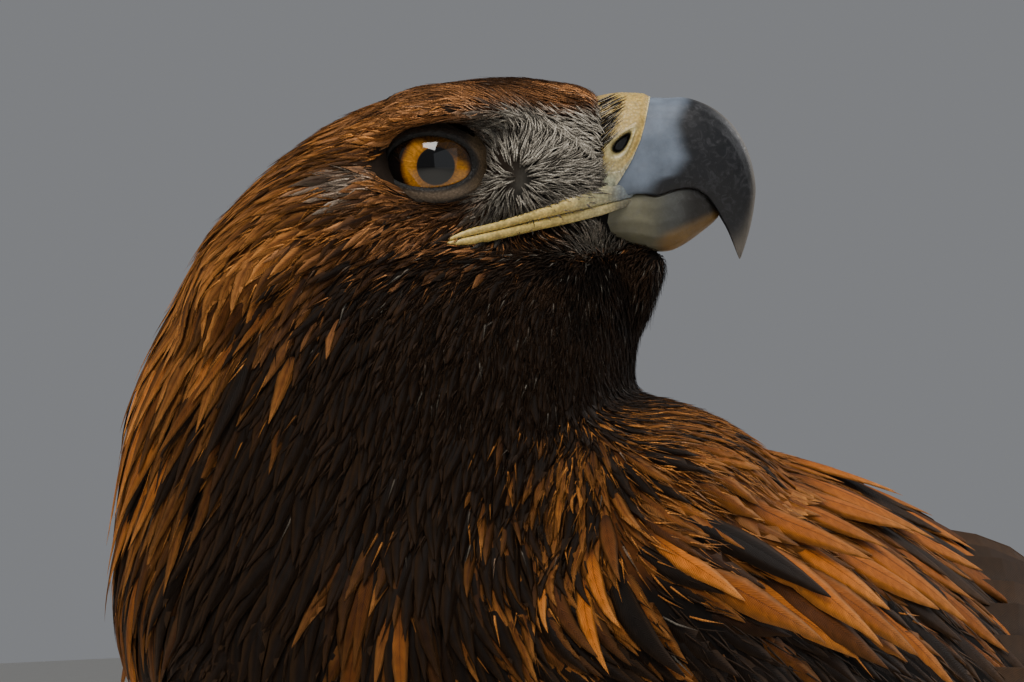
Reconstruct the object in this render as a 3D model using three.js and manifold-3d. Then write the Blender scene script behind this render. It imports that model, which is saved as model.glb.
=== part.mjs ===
// A life-size golden eagle standing on both feet, with its head turned back over its left shoulder.
// Millimetres, +Z up. The bird faces -Y and its left side is +X. Each named mesh is one closed solid.
import * as THREE from "three";
import { mergeVertices } from "three/addons/utils/BufferGeometryUtils.js";
import Module from "manifold-3d";

const wasm = await Module();
wasm.setup();

// Driving dimensions
const gap = 0.3; // clearance between two nodes that touch
const eyeHeight = 516; // right eye above the floor
const tailLength = 292; // rectrices, from root to tip
const wingLength = 585; // folded wing, from wrist to the longest primary's tip
const bodyWidth = 188; // torso without its wings
const tarsusLength = 108;
const middleToeLength = 66;
const hindClawLength = 50;
const clawRadius = 4.9; // at its root
const toeRadius = 8.6;
const eyeballRadius = 13.5;
const culmenLength = 42; // horn of the upper bill, cere to tip
const neckAxis = { x: 0, y: -113 }; // the neck rises straight up over the breast
const headTurn = 135; // degrees that the head is turned to the bird's left
const vaneThickness = 0.9; // a feather, with its barbs

const deg = Math.PI / 180;
const lerp = (a, b, t) => a + (b - a) * t;
const clamp01 = (t) => Math.min(1, Math.max(0, t));
const smooth = (t) => clamp01(t) ** 2 * (3 - 2 * clamp01(t));
const vec = (x, y, z) => new THREE.Vector3(x, y, z);

// A repeatable draw between -1 and 1, so that no two feathers are quite alike.
let seed = 7;
const vary = () => {
  seed = (seed * 16807) % 2147483647;
  return (seed / 2147483647) * 2 - 1;
};

// Reads a smooth value out of a few stations sorted by their key, by Hermite interpolation.
function along(stations, key, at, name) {
  const n = stations.length;
  let i = 0;
  while (i < n - 2 && at > stations[i + 1][key]) {
    i++;
  }
  const slope = (k) => {
    const a = stations[Math.max(0, k - 1)];
    const b = stations[Math.min(n - 1, k + 1)];
    return (b[name] - a[name]) / (b[key] - a[key]);
  };
  const [p, q] = [stations[i], stations[i + 1]];
  const h = q[key] - p[key];
  const t = clamp01((at - p[key]) / h);
  const s = 1 - t;
  return (
    p[name] * s * s * (1 + 2 * t) + q[name] * t * t * (3 - 2 * t) +
    slope(i) * h * t * s * s - slope(i + 1) * h * t * t * s
  );
}

// A closed solid from rings of points; each end closes on its ring's middle point, or on the given tip.
function loft(rings, startTip, endTip) {
  const count = rings[0].length;
  const middle = (ring) => ring.reduce((sum, p) => sum.add(p), vec(0, 0, 0)).divideScalar(count);
  const points = rings.flat();
  const start = points.length;
  points.push(startTip ?? middle(rings[0]), endTip ?? middle(rings.at(-1)));
  const faces = [];
  const last = (rings.length - 1) * count;
  for (let j = 0; j < count; j++) {
    const k = (j + 1) % count;
    faces.push(start, k, j, start + 1, last + j, last + k);
    for (let i = 0; i < last; i += count) {
      faces.push(i + j, i + k, i + count + k, i + j, i + count + k, i + count + j);
    }
  }
  return closedSolid(points, faces);
}

// A manifold solid from points and faces, turned the right way out.
function closedSolid(points, faces) {
  const geometry = new THREE.BufferGeometry().setFromPoints(points);
  geometry.setIndex(faces);
  const merged = mergeVertices(geometry, 1e-4);
  const index = Array.from(merged.index.array);
  const kept = [];
  for (let i = 0; i < index.length; i += 3) {
    const [a, b, c] = index.slice(i, i + 3);
    if (a !== b && b !== c && c !== a) {
      kept.push(a, b, c);
    }
  }
  const build = (order) => new wasm.Manifold(new wasm.Mesh({
    numProp: 3,
    vertProperties: new Float32Array(merged.attributes.position.array),
    triVerts: new Uint32Array(order),
  }));
  const solid = build(kept);
  return solid.volume() < 0 ? build(kept.reverse()) : solid;
}

const join = (solids) => solids.reduce((sum, s) => sum.add(s));
const cut = (solid, tools) => tools.reduce((left, tool) => left.subtract(tool), solid);
const mirror = (solid) => solid.mirror([1, 0, 0]);

// Keeps the part of a solid on the side of a plane that the normal points to.
function trim(solid, normal, point) {
  const n = normal.clone().normalize();
  return solid.trimByPlane([n.x, n.y, n.z], n.dot(point));
}

// The largest closed piece of a solid, with no sealed hollow.
function largest(solid) {
  return solid.decompose().reduce((best, s) => (s.volume() > best.volume() ? s : best));
}

const meshes = [];
function node(name, solid, material) {
  const mesh = largest(solid).getMesh();
  const geometry = new THREE.BufferGeometry();
  geometry.setAttribute("position", new THREE.BufferAttribute(mesh.vertProperties.slice(), 3));
  geometry.setIndex(new THREE.BufferAttribute(mesh.triVerts.slice(), 1));
  geometry.computeVertexNormals();
  const made = new THREE.Mesh(geometry, material);
  made.name = name;
  meshes.push(made);
}

const finish = (color, roughness) => new THREE.MeshStandardMaterial({ color, roughness, metalness: 0 });
const featherBrown = finish(0x2a1c13, 0.8);
const hackleGold = finish(0x8a5426, 0.75);
const hornBlue = finish(0x4a5462, 0.4);
const skinYellow = finish(0xc9a545, 0.5);
const eyeAmber = finish(0xb87a17, 0.1);
const clawBlack = finish(0x17171a, 0.35);

// Torso: upright oval sections along Y. mid is the section's middle height, up and half its half sizes.
const torsoStations = [
  { y: -186, mid: 390, up: 8, half: 8 },
  { y: -172, mid: 390, up: 34, half: 36 },
  { y: -145, mid: 390, up: 58, half: 62 },
  { y: -105, mid: 387, up: 76, half: 82 },
  { y: -55, mid: 378, up: 84, half: bodyWidth / 2 - 2 },
  { y: 5, mid: 361, up: 83, half: bodyWidth / 2 },
  { y: 65, mid: 345, up: 77, half: bodyWidth / 2 - 10 },
  { y: 125, mid: 324, up: 60, half: 66 },
  { y: 175, mid: 299, up: 42, half: 46 },
  { y: 212, mid: 278, up: 25, half: 32 },
  { y: 230, mid: 268, up: 8, half: 12 },
];
const torsoFront = torsoStations[0].y;
const torsoRear = torsoStations.at(-1).y;

// Point on the torso, at angle degrees from the back's midline, lifted off its skin.
function torsoPoint(y, angle, lift = 0) {
  const up = along(torsoStations, "y", y, "up") + lift;
  const half = along(torsoStations, "y", y, "half") + lift;
  const mid = along(torsoStations, "y", y, "mid");
  return vec(half * Math.sin(angle * deg), y, mid + up * Math.cos(angle * deg));
}

function torsoSolid(lift) {
  const sides = 22;
  const steps = 16;
  const rings = [];
  for (let i = 0; i <= steps; i++) {
    const y = lerp(torsoFront, torsoRear, 0.5 - 0.5 * Math.cos((Math.PI * i) / steps));
    rings.push(Array.from({ length: sides }, (_, j) => torsoPoint(y, (360 * j) / sides, lift)));
  }
  const tip = 2 + lift;
  return loft(
    rings,
    vec(0, torsoFront - tip, torsoStations[0].mid),
    vec(0, torsoRear + tip, torsoStations.at(-1).mid),
  );
}

// A closed slab between two grids of points, top and bottom, both split into triangles alike.
function slab(top, bottom) {
  const rows = top.length;
  const cols = top[0].length;
  const points = [];
  top.forEach((row, i) => row.forEach((p, c) => points.push(p, bottom[i][c])));
  const t = (i, c) => (i * cols + c) * 2;
  const b = (i, c) => t(i, c) + 1;
  const faces = [];
  const quad = (p, q, r, s) => faces.push(p, q, r, p, r, s);
  for (let i = 0; i < rows - 1; i++) {
    for (let c = 0; c < cols - 1; c++) {
      quad(t(i, c), t(i, c + 1), t(i + 1, c + 1), t(i + 1, c));
      faces.push(b(i + 1, c + 1), b(i, c + 1), b(i, c), b(i + 1, c), b(i + 1, c + 1), b(i, c));
    }
    quad(t(i, 0), t(i + 1, 0), b(i + 1, 0), b(i, 0));
    quad(t(i, cols - 1), b(i, cols - 1), b(i + 1, cols - 1), t(i + 1, cols - 1));
  }
  for (let c = 0; c < cols - 1; c++) {
    quad(t(0, c), b(0, c), b(0, c + 1), t(0, c + 1));
    quad(t(rows - 1, c), t(rows - 1, c + 1), b(rows - 1, c + 1), b(rows - 1, c));
  }
  return closedSolid(points, faces);
}

// A feather's vane along a path of { p, n, t }: narrow root, full middle and a rounded or pointed tip.
// width, tilt and bend are given for each stop: tilt lifts one edge so that neighbours overlap like tiles,
// and bend is the curve of the body across the feather.
function vane(path, { width, bend, point, tilt = () => 0, root = 0.4 }) {
  const top = [];
  const bottom = [];
  path.forEach(({ p, n, t }, i) => {
    const ahead = path[Math.min(i + 1, path.length - 1)].p;
    const behind = path[Math.max(i - 1, 0)].p;
    const across = new THREE.Vector3().crossVectors(n, ahead.clone().sub(behind)).normalize();
    const tipward = clamp01((t - 0.45) / 0.55);
    const taper = lerp(Math.sqrt(1 - 0.96 * tipward ** 2), 1 - 0.93 * tipward, point);
    const half = (width(i) / 2) * lerp(root, 1, smooth(t / 0.4)) * taper;
    const body = lerp(vaneThickness, 0.55, smooth(t)) / 2;
    const row = (side) => [-1, 0, 1].map((e) => {
      const raise = e * half * tilt(i) - Math.abs(e) * bend(i) * half ** 2 * 0.5 + side * body;
      return p.clone().addScaledVector(across, e * half).addScaledVector(n, raise);
    });
    top.push(row(1));
    bottom.push(row(-1));
  });
  return slab(top, bottom);
}

// The outward normal of a surface given as a function of two numbers.
function normalOf(surface, a, b, lift, inside) {
  const da = surface(a + 0.5, b, lift).sub(surface(a - 0.5, b, lift));
  const db = surface(a, b + 0.5, lift).sub(surface(a, b - 0.5, lift));
  const n = da.cross(db).normalize();
  return n.dot(surface(a, b, lift).sub(inside)) < 0 ? n.negate() : n;
}

// Wing, folded: the envelope that its feathers lie on, as oval sections along Y like the torso's.
const wrist = -138;
const wingTip = wrist + wingLength; // where the longest primary ends, along Y
const wingStations = [
  { y: wrist - 12, mid: 388, up: 58, half: 64 },
  { y: -112, mid: 386, up: 84, half: 95 },
  { y: -60, mid: 375, up: 95, half: 107 },
  { y: 0, mid: 361, up: 95, half: 108 },
  { y: 65, mid: 343, up: 90, half: 100 },
  { y: 125, mid: 323, up: 77, half: 84 },
  { y: 185, mid: 297, up: 62, half: 68 },
  { y: 255, mid: 262, up: 46, half: 53 },
  { y: 335, mid: 221, up: 32, half: 42 },
  { y: wingTip + 20, mid: 161, up: 18, half: 26 },
];
// Upper and lower edges of the wing, as angles from the back's midline.
const wingEdges = [
  { y: wrist, top: 52, low: 122 },
  { y: -60, top: 32, low: 118 },
  { y: 60, top: 25, low: 112 },
  { y: 160, top: 14, low: 104 },
  { y: wingTip, top: 12, low: 70 },
];

function wingPoint(y, angle, lift = 0) {
  const up = along(wingStations, "y", y, "up") + lift;
  const half = along(wingStations, "y", y, "half") + lift;
  const mid = along(wingStations, "y", y, "mid");
  return vec(half * Math.sin(angle * deg), y, mid + up * Math.cos(angle * deg));
}

// The fleshy part of the wing, from its wrist to where only feathers go on. spread widens it, in degrees.
function wingCore(outer, inner, spread = 0) {
  const rear = 118;
  const rows = 7;
  const cols = 5;
  const grid = (lift) => Array.from({ length: rows }, (_, i) => {
    const y = lerp(wrist, rear, i / (rows - 1));
    const thin = Math.min(1, 0.25 + i / 1.5, 0.3 + (rows - 1 - i) / 2);
    return Array.from({ length: cols }, (_, c) => {
      const top = along(wingEdges, "y", y, "top") - spread;
      const low = along(wingEdges, "y", y, "low") + spread;
      const rim = Math.min(1, 0.4 + 0.6 * Math.min(c, cols - 1 - c));
      const middle = -6;
      return wingPoint(y, lerp(top, low, c / (cols - 1)), middle + (lift - middle) * thin * rim);
    });
  });
  return slab(grid(outer), grid(inner));
}

// Tiers of the wing, the longest feathers lowest. Feathers of one number lie over each other on one line,
// so tiers never cross. roots and tips run from the low edge to the top edge; thickness sets their spacing.
const lap = 1.5; // rise from one feather of a tier to the next
const layer = 2.7; // between two tiers: a lap, a feather and a clearance
const lowest = -4; // the secondaries' depth under the envelope
const wingTiers = [
  { count: 4, span: [0.02, 0.66], roots: [70, 92], tips: [318, wingTip], bow: 1.6, level: -1.5, point: 0.5,
    stops: [0, 0.14, 0.4, 0.7, 0.92, 1] },
  { count: 5, span: [0, 1], roots: [-6, 66], tips: [205, 330], bow: 1, level: 0, point: 0.25,
    stops: [0, 0.25, 0.6, 0.9, 1] },
  { count: 5, span: [0, 1], roots: [-58, 8], tips: [86, 190], bow: 1, level: 1, point: 0.35,
    stops: [0, 0.35, 0.8, 1] },
  { count: 4, span: [0, 1], roots: [-112, -70], tips: [-10, 76], bow: 1, level: 2, point: 0.4,
    stops: [0, 0.4, 0.85, 1] },
];

function wingVanes() {
  const inside = vec(0, 0, 355);
  return wingTiers.flatMap((tier) => Array.from({ length: tier.count }, (_, i) => {
    const share = (i + 0.5) / tier.count;
    const line = lerp(tier.span[0], tier.span[1], share);
    const y0 = lerp(tier.roots[0], tier.roots[1], share);
    const y1 = lerp(tier.tips[0], tier.tips[1], 1 - (1 - share) ** tier.bow) + 3 * vary();
    const stop = tier.stops.map((t) => {
      const y = lerp(y0, y1, t);
      const low = along(wingEdges, "y", y, "low");
      const top = along(wingEdges, "y", y, "top");
      const radius = (along(wingStations, "y", y, "up") + along(wingStations, "y", y, "half")) / 2;
      const spacing = (radius * (low - top) * deg * (tier.span[1] - tier.span[0])) / tier.count;
      const angle = lerp(low, top, line);
      const lift = lerp(lowest - 5, lowest + tier.level * layer, smooth(t / 0.3));
      const n = normalOf(wingPoint, y, angle, lift, inside);
      return { p: wingPoint(y, angle, lift), n, t, radius, spacing };
    });
    return vane(stop, {
      width: (k) => Math.min(46, stop[k].spacing * 1.75),
      tilt: (k) => lap / stop[k].spacing,
      bend: (k) => 1 / stop[k].radius,
      point: tier.point,
    });
  }));
}

function wingSolid() {
  const feathers = join([wingCore(lowest - 2, -18), ...wingVanes()]);
  return cut(feathers, [torsoSolid(gap)]);
}

// Tail: a short root under the coverts, and a fan of rectrices in two overlapping halves.
const tailRoot = vec(0, 206, 281);
const tailSlope = 26 * deg;
const tailFan = 11; // degrees that the outer feather stands out
const tailBow = 125; // radius of a rectrix across its vane
const rectrices = 10;

// A point of the tail: distance along it, sideways angle in the fan, and height over its plane.
function tailPoint(distance, angle, lift) {
  const side = distance * Math.sin(angle * deg) * 1.5;
  const droop = 0.004 * side * side;
  const back = distance * Math.cos(angle * deg);
  return vec(
    side,
    tailRoot.y + back * Math.cos(tailSlope) + lift * Math.sin(tailSlope),
    tailRoot.z - back * Math.sin(tailSlope) + (lift - droop) * Math.cos(tailSlope),
  );
}

function tailVanes() {
  const inside = vec(0, 300, -500);
  const set = ({ count, fan, reach, width, base, step, point, stops }) =>
    Array.from({ length: count }, (_, i) => {
      const place = (i / (count - 1)) * 2 - 1; // from the right edge to the left
      const height = base + step * (1 - Math.abs(place)) * (count / 2) + (place > 0 ? step / 2 : 0);
      const length = reach * (1 - 0.06 * Math.abs(place)) + 2 * vary();
      const path = stops.map((t) => {
        const distance = lerp(6, length, t);
        const lift = height * smooth(t * 4);
        const n = normalOf(tailPoint, distance, place * fan, lift, inside);
        return { p: tailPoint(distance, place * fan, lift), n, t };
      });
      return vane(path, { width: () => width, bend: () => 1 / tailBow, point, root: 0.55 });
    });
  const covert = { count: 4, fan: tailFan * 0.7, width: 35, point: 0.35, stops: [0, 0.4, 1] };
  return [
    ...set({ count: rectrices, fan: tailFan, reach: tailLength, width: 46, base: 0, step: 2.2, point: 0.1,
      stops: [0, 0.15, 0.5, 0.9, 1] }),
    ...set({ ...covert, reach: tailLength * 0.4, base: 10, step: 2.4 }),
    ...set({ ...covert, reach: tailLength * 0.42, base: -3, step: -2.4 }),
  ];
}

function tailSolid() {
  const sides = 12;
  const rings = [[-8, 26, 15], [10, 30, 14], [40, 26, 9], [75, 14, 3]].map(([distance, half, deep]) => {
    return Array.from({ length: sides }, (_, j) => {
      const a = (j / sides) * 2 * Math.PI;
      return tailPoint(distance, 0, deep * Math.cos(a)).add(vec(half * Math.sin(a), 0, 0));
    });
  });
  return cut(join([loft(rings), ...tailVanes()]), [torsoSolid(gap)]);
}

// Head and neck, in the head's own directions: u towards the bill, side towards the bird's right, w up,
// from the middle of the head at the height of the eyes.
const billWay = vec(Math.sin(headTurn * deg), -Math.cos(headTurn * deg), 0);
const rightWay = vec(billWay.y, -billWay.x, 0);
const headCentre = vec(neckAxis.x, neckAxis.y, eyeHeight).addScaledVector(billWay, 12);
const inHead = (u, side, w) =>
  headCentre.clone().addScaledVector(billWay, u).addScaledVector(rightWay, side).add(vec(0, 0, w));

// A sine or cosine drawn towards a box: round when power is 2, squarer above that.
const rounded = (v, power) => Math.sign(v) * Math.abs(v) ** (2 / power);

// An upright ring across the head.
const skullPower = 2.2;
function ringAcross({ u, top, low, half }) {
  const sides = 16;
  return Array.from({ length: sides }, (_, j) => {
    const a = (2 * Math.PI * j) / sides;
    const rise = ((top - low) / 2) * rounded(Math.cos(a), skullPower);
    return inHead(u, half * rounded(Math.sin(a), skullPower), (top + low) / 2 + rise);
  });
}

const headStations = [
  { u: 58, top: -17, low: -24.6, half: 4.5 },
  { u: 50, top: 2, low: -26, half: 9 },
  { u: 44, top: 16.2, low: -27, half: 14.5 },
  { u: 30, top: 21.4, low: -33, half: 22.5 },
  { u: 15, top: 22.3, low: -38, half: 29 },
  { u: 0, top: 20.8, low: -42, half: 33 },
  { u: -18, top: 15.2, low: -46, half: 36 },
  { u: -35, top: 4.4, low: -52, half: 37 },
  { u: -50, top: -10, low: -58, half: 34 },
  { u: -62, top: -25, low: -60, half: 26 },
  { u: -69, top: -38, low: -56, half: 12 },
];

// Neck: level ovals that stand on the breast; c is the middle along u.
const neckStations = [
  { w: -152, c: -4, long: 76, wide: 74 },
  { w: -120, c: -8, long: 71, wide: 67 },
  { w: -90, c: -12, long: 67.5, wide: 58 },
  { w: -60, c: -12, long: 64.5, wide: 50 },
  { w: -40, c: -8, long: 61, wide: 44 },
  { w: -22, c: -4, long: 54, wide: 36 },
  { w: -8, c: -4, long: 42, wide: 26 },
];
const neckCut = -42; // height of the thin cut between head and neck

function neckPoint(w, turn, lift = 0) {
  const get = (name) => along(neckStations, "w", w, name);
  return inHead(
    get("c") + (get("long") + lift) * Math.cos(turn * deg),
    (get("wide") + lift) * Math.sin(turn * deg),
    w,
  );
}

function neckRing(w, lift = 0) {
  const sides = 18;
  return Array.from({ length: sides }, (_, j) => neckPoint(w, (j * 360) / sides, lift));
}

function headAndNeck() {
  const skull = loft(headStations.map(ringAcross));
  const levels = [-152, -120, -95, -74, -56, -38, -22, -8];
  return skull.add(loft(levels.map((w) => neckRing(w))));
}

// Lays a point on the neck or on the torso, lift above it, where it would sink in. Gives the normal too.
function settle(p, lift, before) {
  let n = before;
  const flat = p.clone().sub(headCentre);
  const w = flat.z;
  if (w > neckStations[0].w && w < 0) {
    const u = flat.dot(billWay) - along(neckStations, "w", w, "c");
    const side = flat.dot(rightWay);
    const long = along(neckStations, "w", w, "long") + lift;
    const wide = along(neckStations, "w", w, "wide") + lift;
    const share = Math.hypot(u / long, side / wide);
    if (share < 1) {
      const out = billWay.clone().multiplyScalar(u).addScaledVector(rightWay, side);
      p = p.clone().addScaledVector(out, 1 / share - 1);
      n = billWay.clone().multiplyScalar(u / long ** 2).addScaledVector(rightWay, side / wide ** 2);
      n.normalize().add(vec(0, 0, 0.15)).normalize();
    }
  }
  if (p.y > torsoFront && p.y < torsoRear) {
    const mid = along(torsoStations, "y", p.y, "mid");
    const up = along(torsoStations, "y", p.y, "up") + lift;
    const half = along(torsoStations, "y", p.y, "half") + lift;
    const share = Math.hypot(p.x / half, (p.z - mid) / up);
    if (share < 1) {
      p = vec(p.x / share, p.y, mid + (p.z - mid) / share);
      const angle = Math.atan2(p.x / half, (p.z - mid) / up) / deg;
      n = normalOf(torsoPoint, p.y, angle, lift, vec(0, p.y, mid));
    }
  }
  return { p, n };
}

// Hackles: pointed feathers in rows round the neck. They turn with the neck as they run down it.
const hackleRows = [
  { w: -51, count: 8, length: 50, width: 22, lift: 3.2 },
  { w: -65, count: 8, length: 52, width: 23, lift: 4.6 },
  { w: -80, count: 8, length: 54, width: 24, lift: 6 },
];

function hackleVanes() {
  return hackleRows.flatMap((row, k) => Array.from({ length: row.count }, (_, i) => {
    const turn = ((i + k / 2) * 360) / row.count + 3 * vary();
    const inner = neckPoint(row.w, turn, -5);
    let at = { p: inner, n: inner.clone().sub(inHead(0, 0, row.w)).normalize() };
    const path = [{ ...at, t: 0 }];
    const steps = 9;
    const length = row.length + 4 * vary();
    for (let s = 1; s <= steps; s++) {
      const t = s / steps;
      const round = vec(0, 0, 1).cross(at.n).multiplyScalar(-0.35);
      const way = vec(0, 0.55, -1).add(round);
      way.addScaledVector(at.n, -way.dot(at.n)).normalize();
      at = settle(at.p.clone().addScaledVector(way, length / steps), lerp(-2, row.lift, smooth(t * 3)), at.n);
      if (s === 3 || s === 7 || s === steps) path.push({ ...at, t });
    }
    return vane(path, { width: () => row.width, bend: () => 0.008, point: 0.75, root: 0.6 });
  }));
}

// Bill: the upper one is drawn by its ridge and its cutting edge, and the lower one closes behind the hook.
const hook = culmenLength / 42;
const upperBill = [
  { ridge: [34, 15], edge: [32, -12], half: 13 },
  { ridge: [44, 17], edge: [43, -9.6], half: 12.6 },
  { ridge: [54.5, 17.2], edge: [54, -8.2], half: 11.6 },
  { ridge: [64.5 * hook, 16.6], edge: [60, -7.8], half: 10.3 },
  { ridge: [73 * hook, 12], edge: [64.5, -6.4], half: 8.9 },
  { ridge: [78.6 * hook, 4.3], edge: [68.2, -8.2], half: 7.2 },
  { ridge: [80.8 * hook, -6], edge: [71.8, -13], half: 5.2 },
  { ridge: [80.3 * hook, -15], edge: [75, -18.6], half: 3.1 },
  { ridge: [78.6 * hook, -21.4], edge: [76.6, -22.6], half: 1.2 },
];
const lowerBill = [
  { ridge: [28, -14], edge: [28, -27], half: 11.5 },
  { ridge: [45, -8.8], edge: [45, -25], half: 10.8 },
  { ridge: [55, -6.9], edge: [56, -23.8], half: 9.8 },
  { ridge: [62, -5.8], edge: [63, -20.4], half: 8 },
  { ridge: [68, -8], edge: [69, -16], half: 5 },
  { ridge: [71.6, -11.6], edge: [72, -13.6], half: 2 },
];

// Sections are round on the outer side and flat where the two halves of the bill meet.
function billSolid(stations, lift = 0, sides = 14) {
  const rings = stations.map(({ ridge, edge, half }) => {
    const middle = [(ridge[0] + edge[0]) / 2, (ridge[1] + edge[1]) / 2];
    const arm = [(ridge[0] - edge[0]) / 2, (ridge[1] - edge[1]) / 2];
    const grow = 1 + lift / Math.hypot(...arm);
    return Array.from({ length: sides }, (_, j) => {
      const a = (2 * Math.PI * j) / sides;
      const meets = stations === upperBill ? Math.cos(a) < 0 : Math.cos(a) > 0;
      const power = meets ? 5 : 2.3;
      const rise = rounded(Math.cos(a), power) * grow;
      const side = (half + lift) * rounded(Math.sin(a), power);
      return inHead(middle[0] + arm[0] * rise, side, middle[1] + arm[1] * rise);
    });
  });
  return loft(rings);
}

// The soft yellow lip runs back from the bill to the corner of the mouth under the eye.
const gapeCorner = { u: 4, w: -19.5 };
function lipSolid(hand, lift = 0) {
  const rings = Array.from({ length: 5 }, (_, i) => {
    const t = i / 4;
    const u = lerp(46, gapeCorner.u, t);
    const w = lerp(-9.4, gapeCorner.w, t) - 1.2 * Math.sin(Math.PI * t);
    const skull = ["top", "low", "half"].map((name) => along([...headStations].reverse(), "u", u, name));
    const level = Math.abs((w - (skull[0] + skull[1]) / 2) / ((skull[0] - skull[1]) / 2));
    const side = skull[2] * (1 - Math.min(1, level) ** skullPower) ** (1 / skullPower) + 0.2;
    const thick = lerp(2.3, 1.5, t) + lift;
    return Array.from({ length: 6 }, (_, j) => {
      const a = (j / 6) * 2 * Math.PI;
      return inHead(u, hand * (Math.max(side, 11.6) + thick * 0.75 * Math.sin(a)), w + thick * Math.cos(a));
    });
  });
  return loft(rings);
}

// A ball or egg with half sizes along u, side and w.
function egg(u, side, w, sizes, tip = 0, columns = 16, rows = 8) {
  const rings = Array.from({ length: rows - 1 }, (_, i) => {
    const a = (Math.PI * (i + 1)) / rows;
    return Array.from({ length: columns }, (__, j) => {
      const b = (2 * Math.PI * j) / columns;
      const [x, z] = [sizes[0] * Math.sin(a) * Math.cos(b), sizes[2] * Math.sin(a) * Math.sin(b)];
      return inHead(
        u + x * Math.cos(tip) - z * Math.sin(tip),
        side + sizes[1] * Math.cos(a),
        w + x * Math.sin(tip) + z * Math.cos(tip),
      );
    });
  });
  return loft(rings, inHead(u, side + sizes[1], w), inHead(u, side - sizes[1], w));
}

// A tube in the head's directions along points of { u, side, w, r }.
function headTube(points, sides = 6) {
  const rings = points.map(({ u, side, w, r }, i) => {
    const next = points[Math.min(i + 1, points.length - 1)];
    const last = points[Math.max(i - 1, 0)];
    const way = inHead(next.u, next.side, next.w).sub(inHead(last.u, last.side, last.w)).normalize();
    const out = rightWay.clone().addScaledVector(way, -rightWay.dot(way)).normalize();
    const other = new THREE.Vector3().crossVectors(way, out);
    return Array.from({ length: sides }, (_, j) => {
      const a = (2 * Math.PI * j) / sides;
      return inHead(u, side, w).addScaledVector(out, r * Math.cos(a)).addScaledVector(other, r * Math.sin(a));
    });
  });
  return loft(rings);
}

const eyePlace = { u: 1.2, side: 31.4 - eyeballRadius, w: -0.4 };
const eyeOpening = { long: 11.4, tall: 7.8 };
const eyeball = (hand, lift = 0) =>
  egg(eyePlace.u, hand * eyePlace.side, eyePlace.w, Array(3).fill(eyeballRadius + lift));

const socket = (hand) =>
  egg(eyePlace.u - 0.8, hand * 33.5, eyePlace.w, [eyeOpening.long + 3, 8.5, eyeOpening.tall + 3]);

// Brow over each eye, and the rim of bare lid round the opening.
const browSolid = (hand) => headTube([
  { u: -17, side: hand * 30, w: 6.5, r: 3 },
  { u: -6, side: hand * 31.5, w: 10.4, r: 4.4 },
  { u: 6, side: hand * 29.5, w: 11.6, r: 4.6 },
  { u: 16, side: hand * 25.2, w: 10, r: 3.8 },
  { u: 24, side: hand * 21, w: 6.5, r: 2.2 },
]);

function lidSolid(hand) {
  const count = 14;
  const rim = Array.from({ length: count }, (_, i) => {
    const a = (2 * Math.PI * i) / count;
    return Array.from({ length: 6 }, (__, j) => {
      const b = (2 * Math.PI * j) / 6;
      const grown = 1.3 + 1.7 * Math.cos(b);
      const u = (eyeOpening.long + grown) * Math.cos(a);
      const w = (eyeOpening.tall + grown) * Math.sin(a);
      const ball = Math.sqrt(Math.max(0, (eyeballRadius + 0.6) ** 2 - u * u - w * w));
      return inHead(
        eyePlace.u - 0.8 + u,
        hand * (eyePlace.side + ball + 1.6 * Math.sin(b)),
        eyePlace.w + w,
      );
    });
  });
  const points = rim.flat();
  const faces = [];
  for (let i = 0; i < count; i++) {
    for (let j = 0; j < 6; j++) {
      const [p, q] = [i * 6, ((i + 1) % count) * 6];
      const k = (j + 1) % 6;
      faces.push(p + j, q + j, q + k, p + j, q + k, p + k);
    }
  }
  return closedSolid(points, faces);
}

// The cere is the soft rear part of the upper bill; two slanting cuts part it from the horn.
const cereCuts = [
  { normal: [1, -0.12], at: [53.6, 8] },
  { normal: [0.72, -0.7], at: [50, 0] },
];
const cutPlane = ({ normal, at }, shift) => {
  const n = inHead(normal[0], 0, normal[1]).sub(headCentre).normalize();
  return [n, inHead(at[0], 0, at[1]).addScaledVector(n, shift)];
};

function cereSolid() {
  let cere = billSolid(upperBill);
  for (const edge of cereCuts) {
    const [n, p] = cutPlane(edge, -gap / 2);
    cere = trim(cere, n.negate(), p);
  }
  const nostril = (hand) => egg(47, hand * 12.5, 6, [3.6, 3.4, 1.6], 50 * deg, 10, 6);
  return cut(join([cere, lipSolid(1), lipSolid(-1)]), [nostril(1), nostril(-1)]);
}

function hornSolid() {
  const parts = cereCuts.map((edge) => {
    const [n, p] = cutPlane(edge, gap / 2);
    return trim(billSolid(upperBill), n, p);
  });
  return cut(join(parts), [lipSolid(1, gap), lipSolid(-1, gap)]);
}

function headSolid(whole) {
  const rims = [lidSolid(1), lidSolid(-1)];
  const top = trim(whole, vec(0, 0, 1), inHead(0, 0, neckCut + gap / 2));
  const skull = join([top, browSolid(1), browSolid(-1)]);
  const open = join([cut(skull, [socket(1), socket(-1)]), ...rims]);
  return cut(open, [
    eyeball(1, gap),
    eyeball(-1, gap),
    billSolid(upperBill, gap),
    billSolid(lowerBill, gap),
    lipSolid(1, gap),
    lipSolid(-1, gap),
  ]);
}

// The space that the folded wings take, a little larger than they are.
const wingSpace = () => wingCore(8, -18 - gap, 10);

// Mantle: broad feathers down the middle of the back, between the wings and behind the hackles.
const mantle = { rows: [4, 46, 90], length: 62, width: 30, turn: 15 };

function mantleVanes() {
  const inside = vec(0, 0, 340);
  return mantle.rows.flatMap((start, row) => (row % 2 ? [0] : [-0.5, 0.5]).map((place) => {
    const angle = place * mantle.turn + vary();
    const path = [0, 0.5, 1].map((t) => {
      const y = start + mantle.length * t;
      const lift = lerp(-4, 3.4, smooth(t * 2));
      return { p: torsoPoint(y, angle, lift), n: normalOf(torsoPoint, y, angle, lift, inside), t };
    });
    return vane(path, { width: () => mantle.width, bend: () => 0.012, point: 0.35 });
  }));
}

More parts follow.
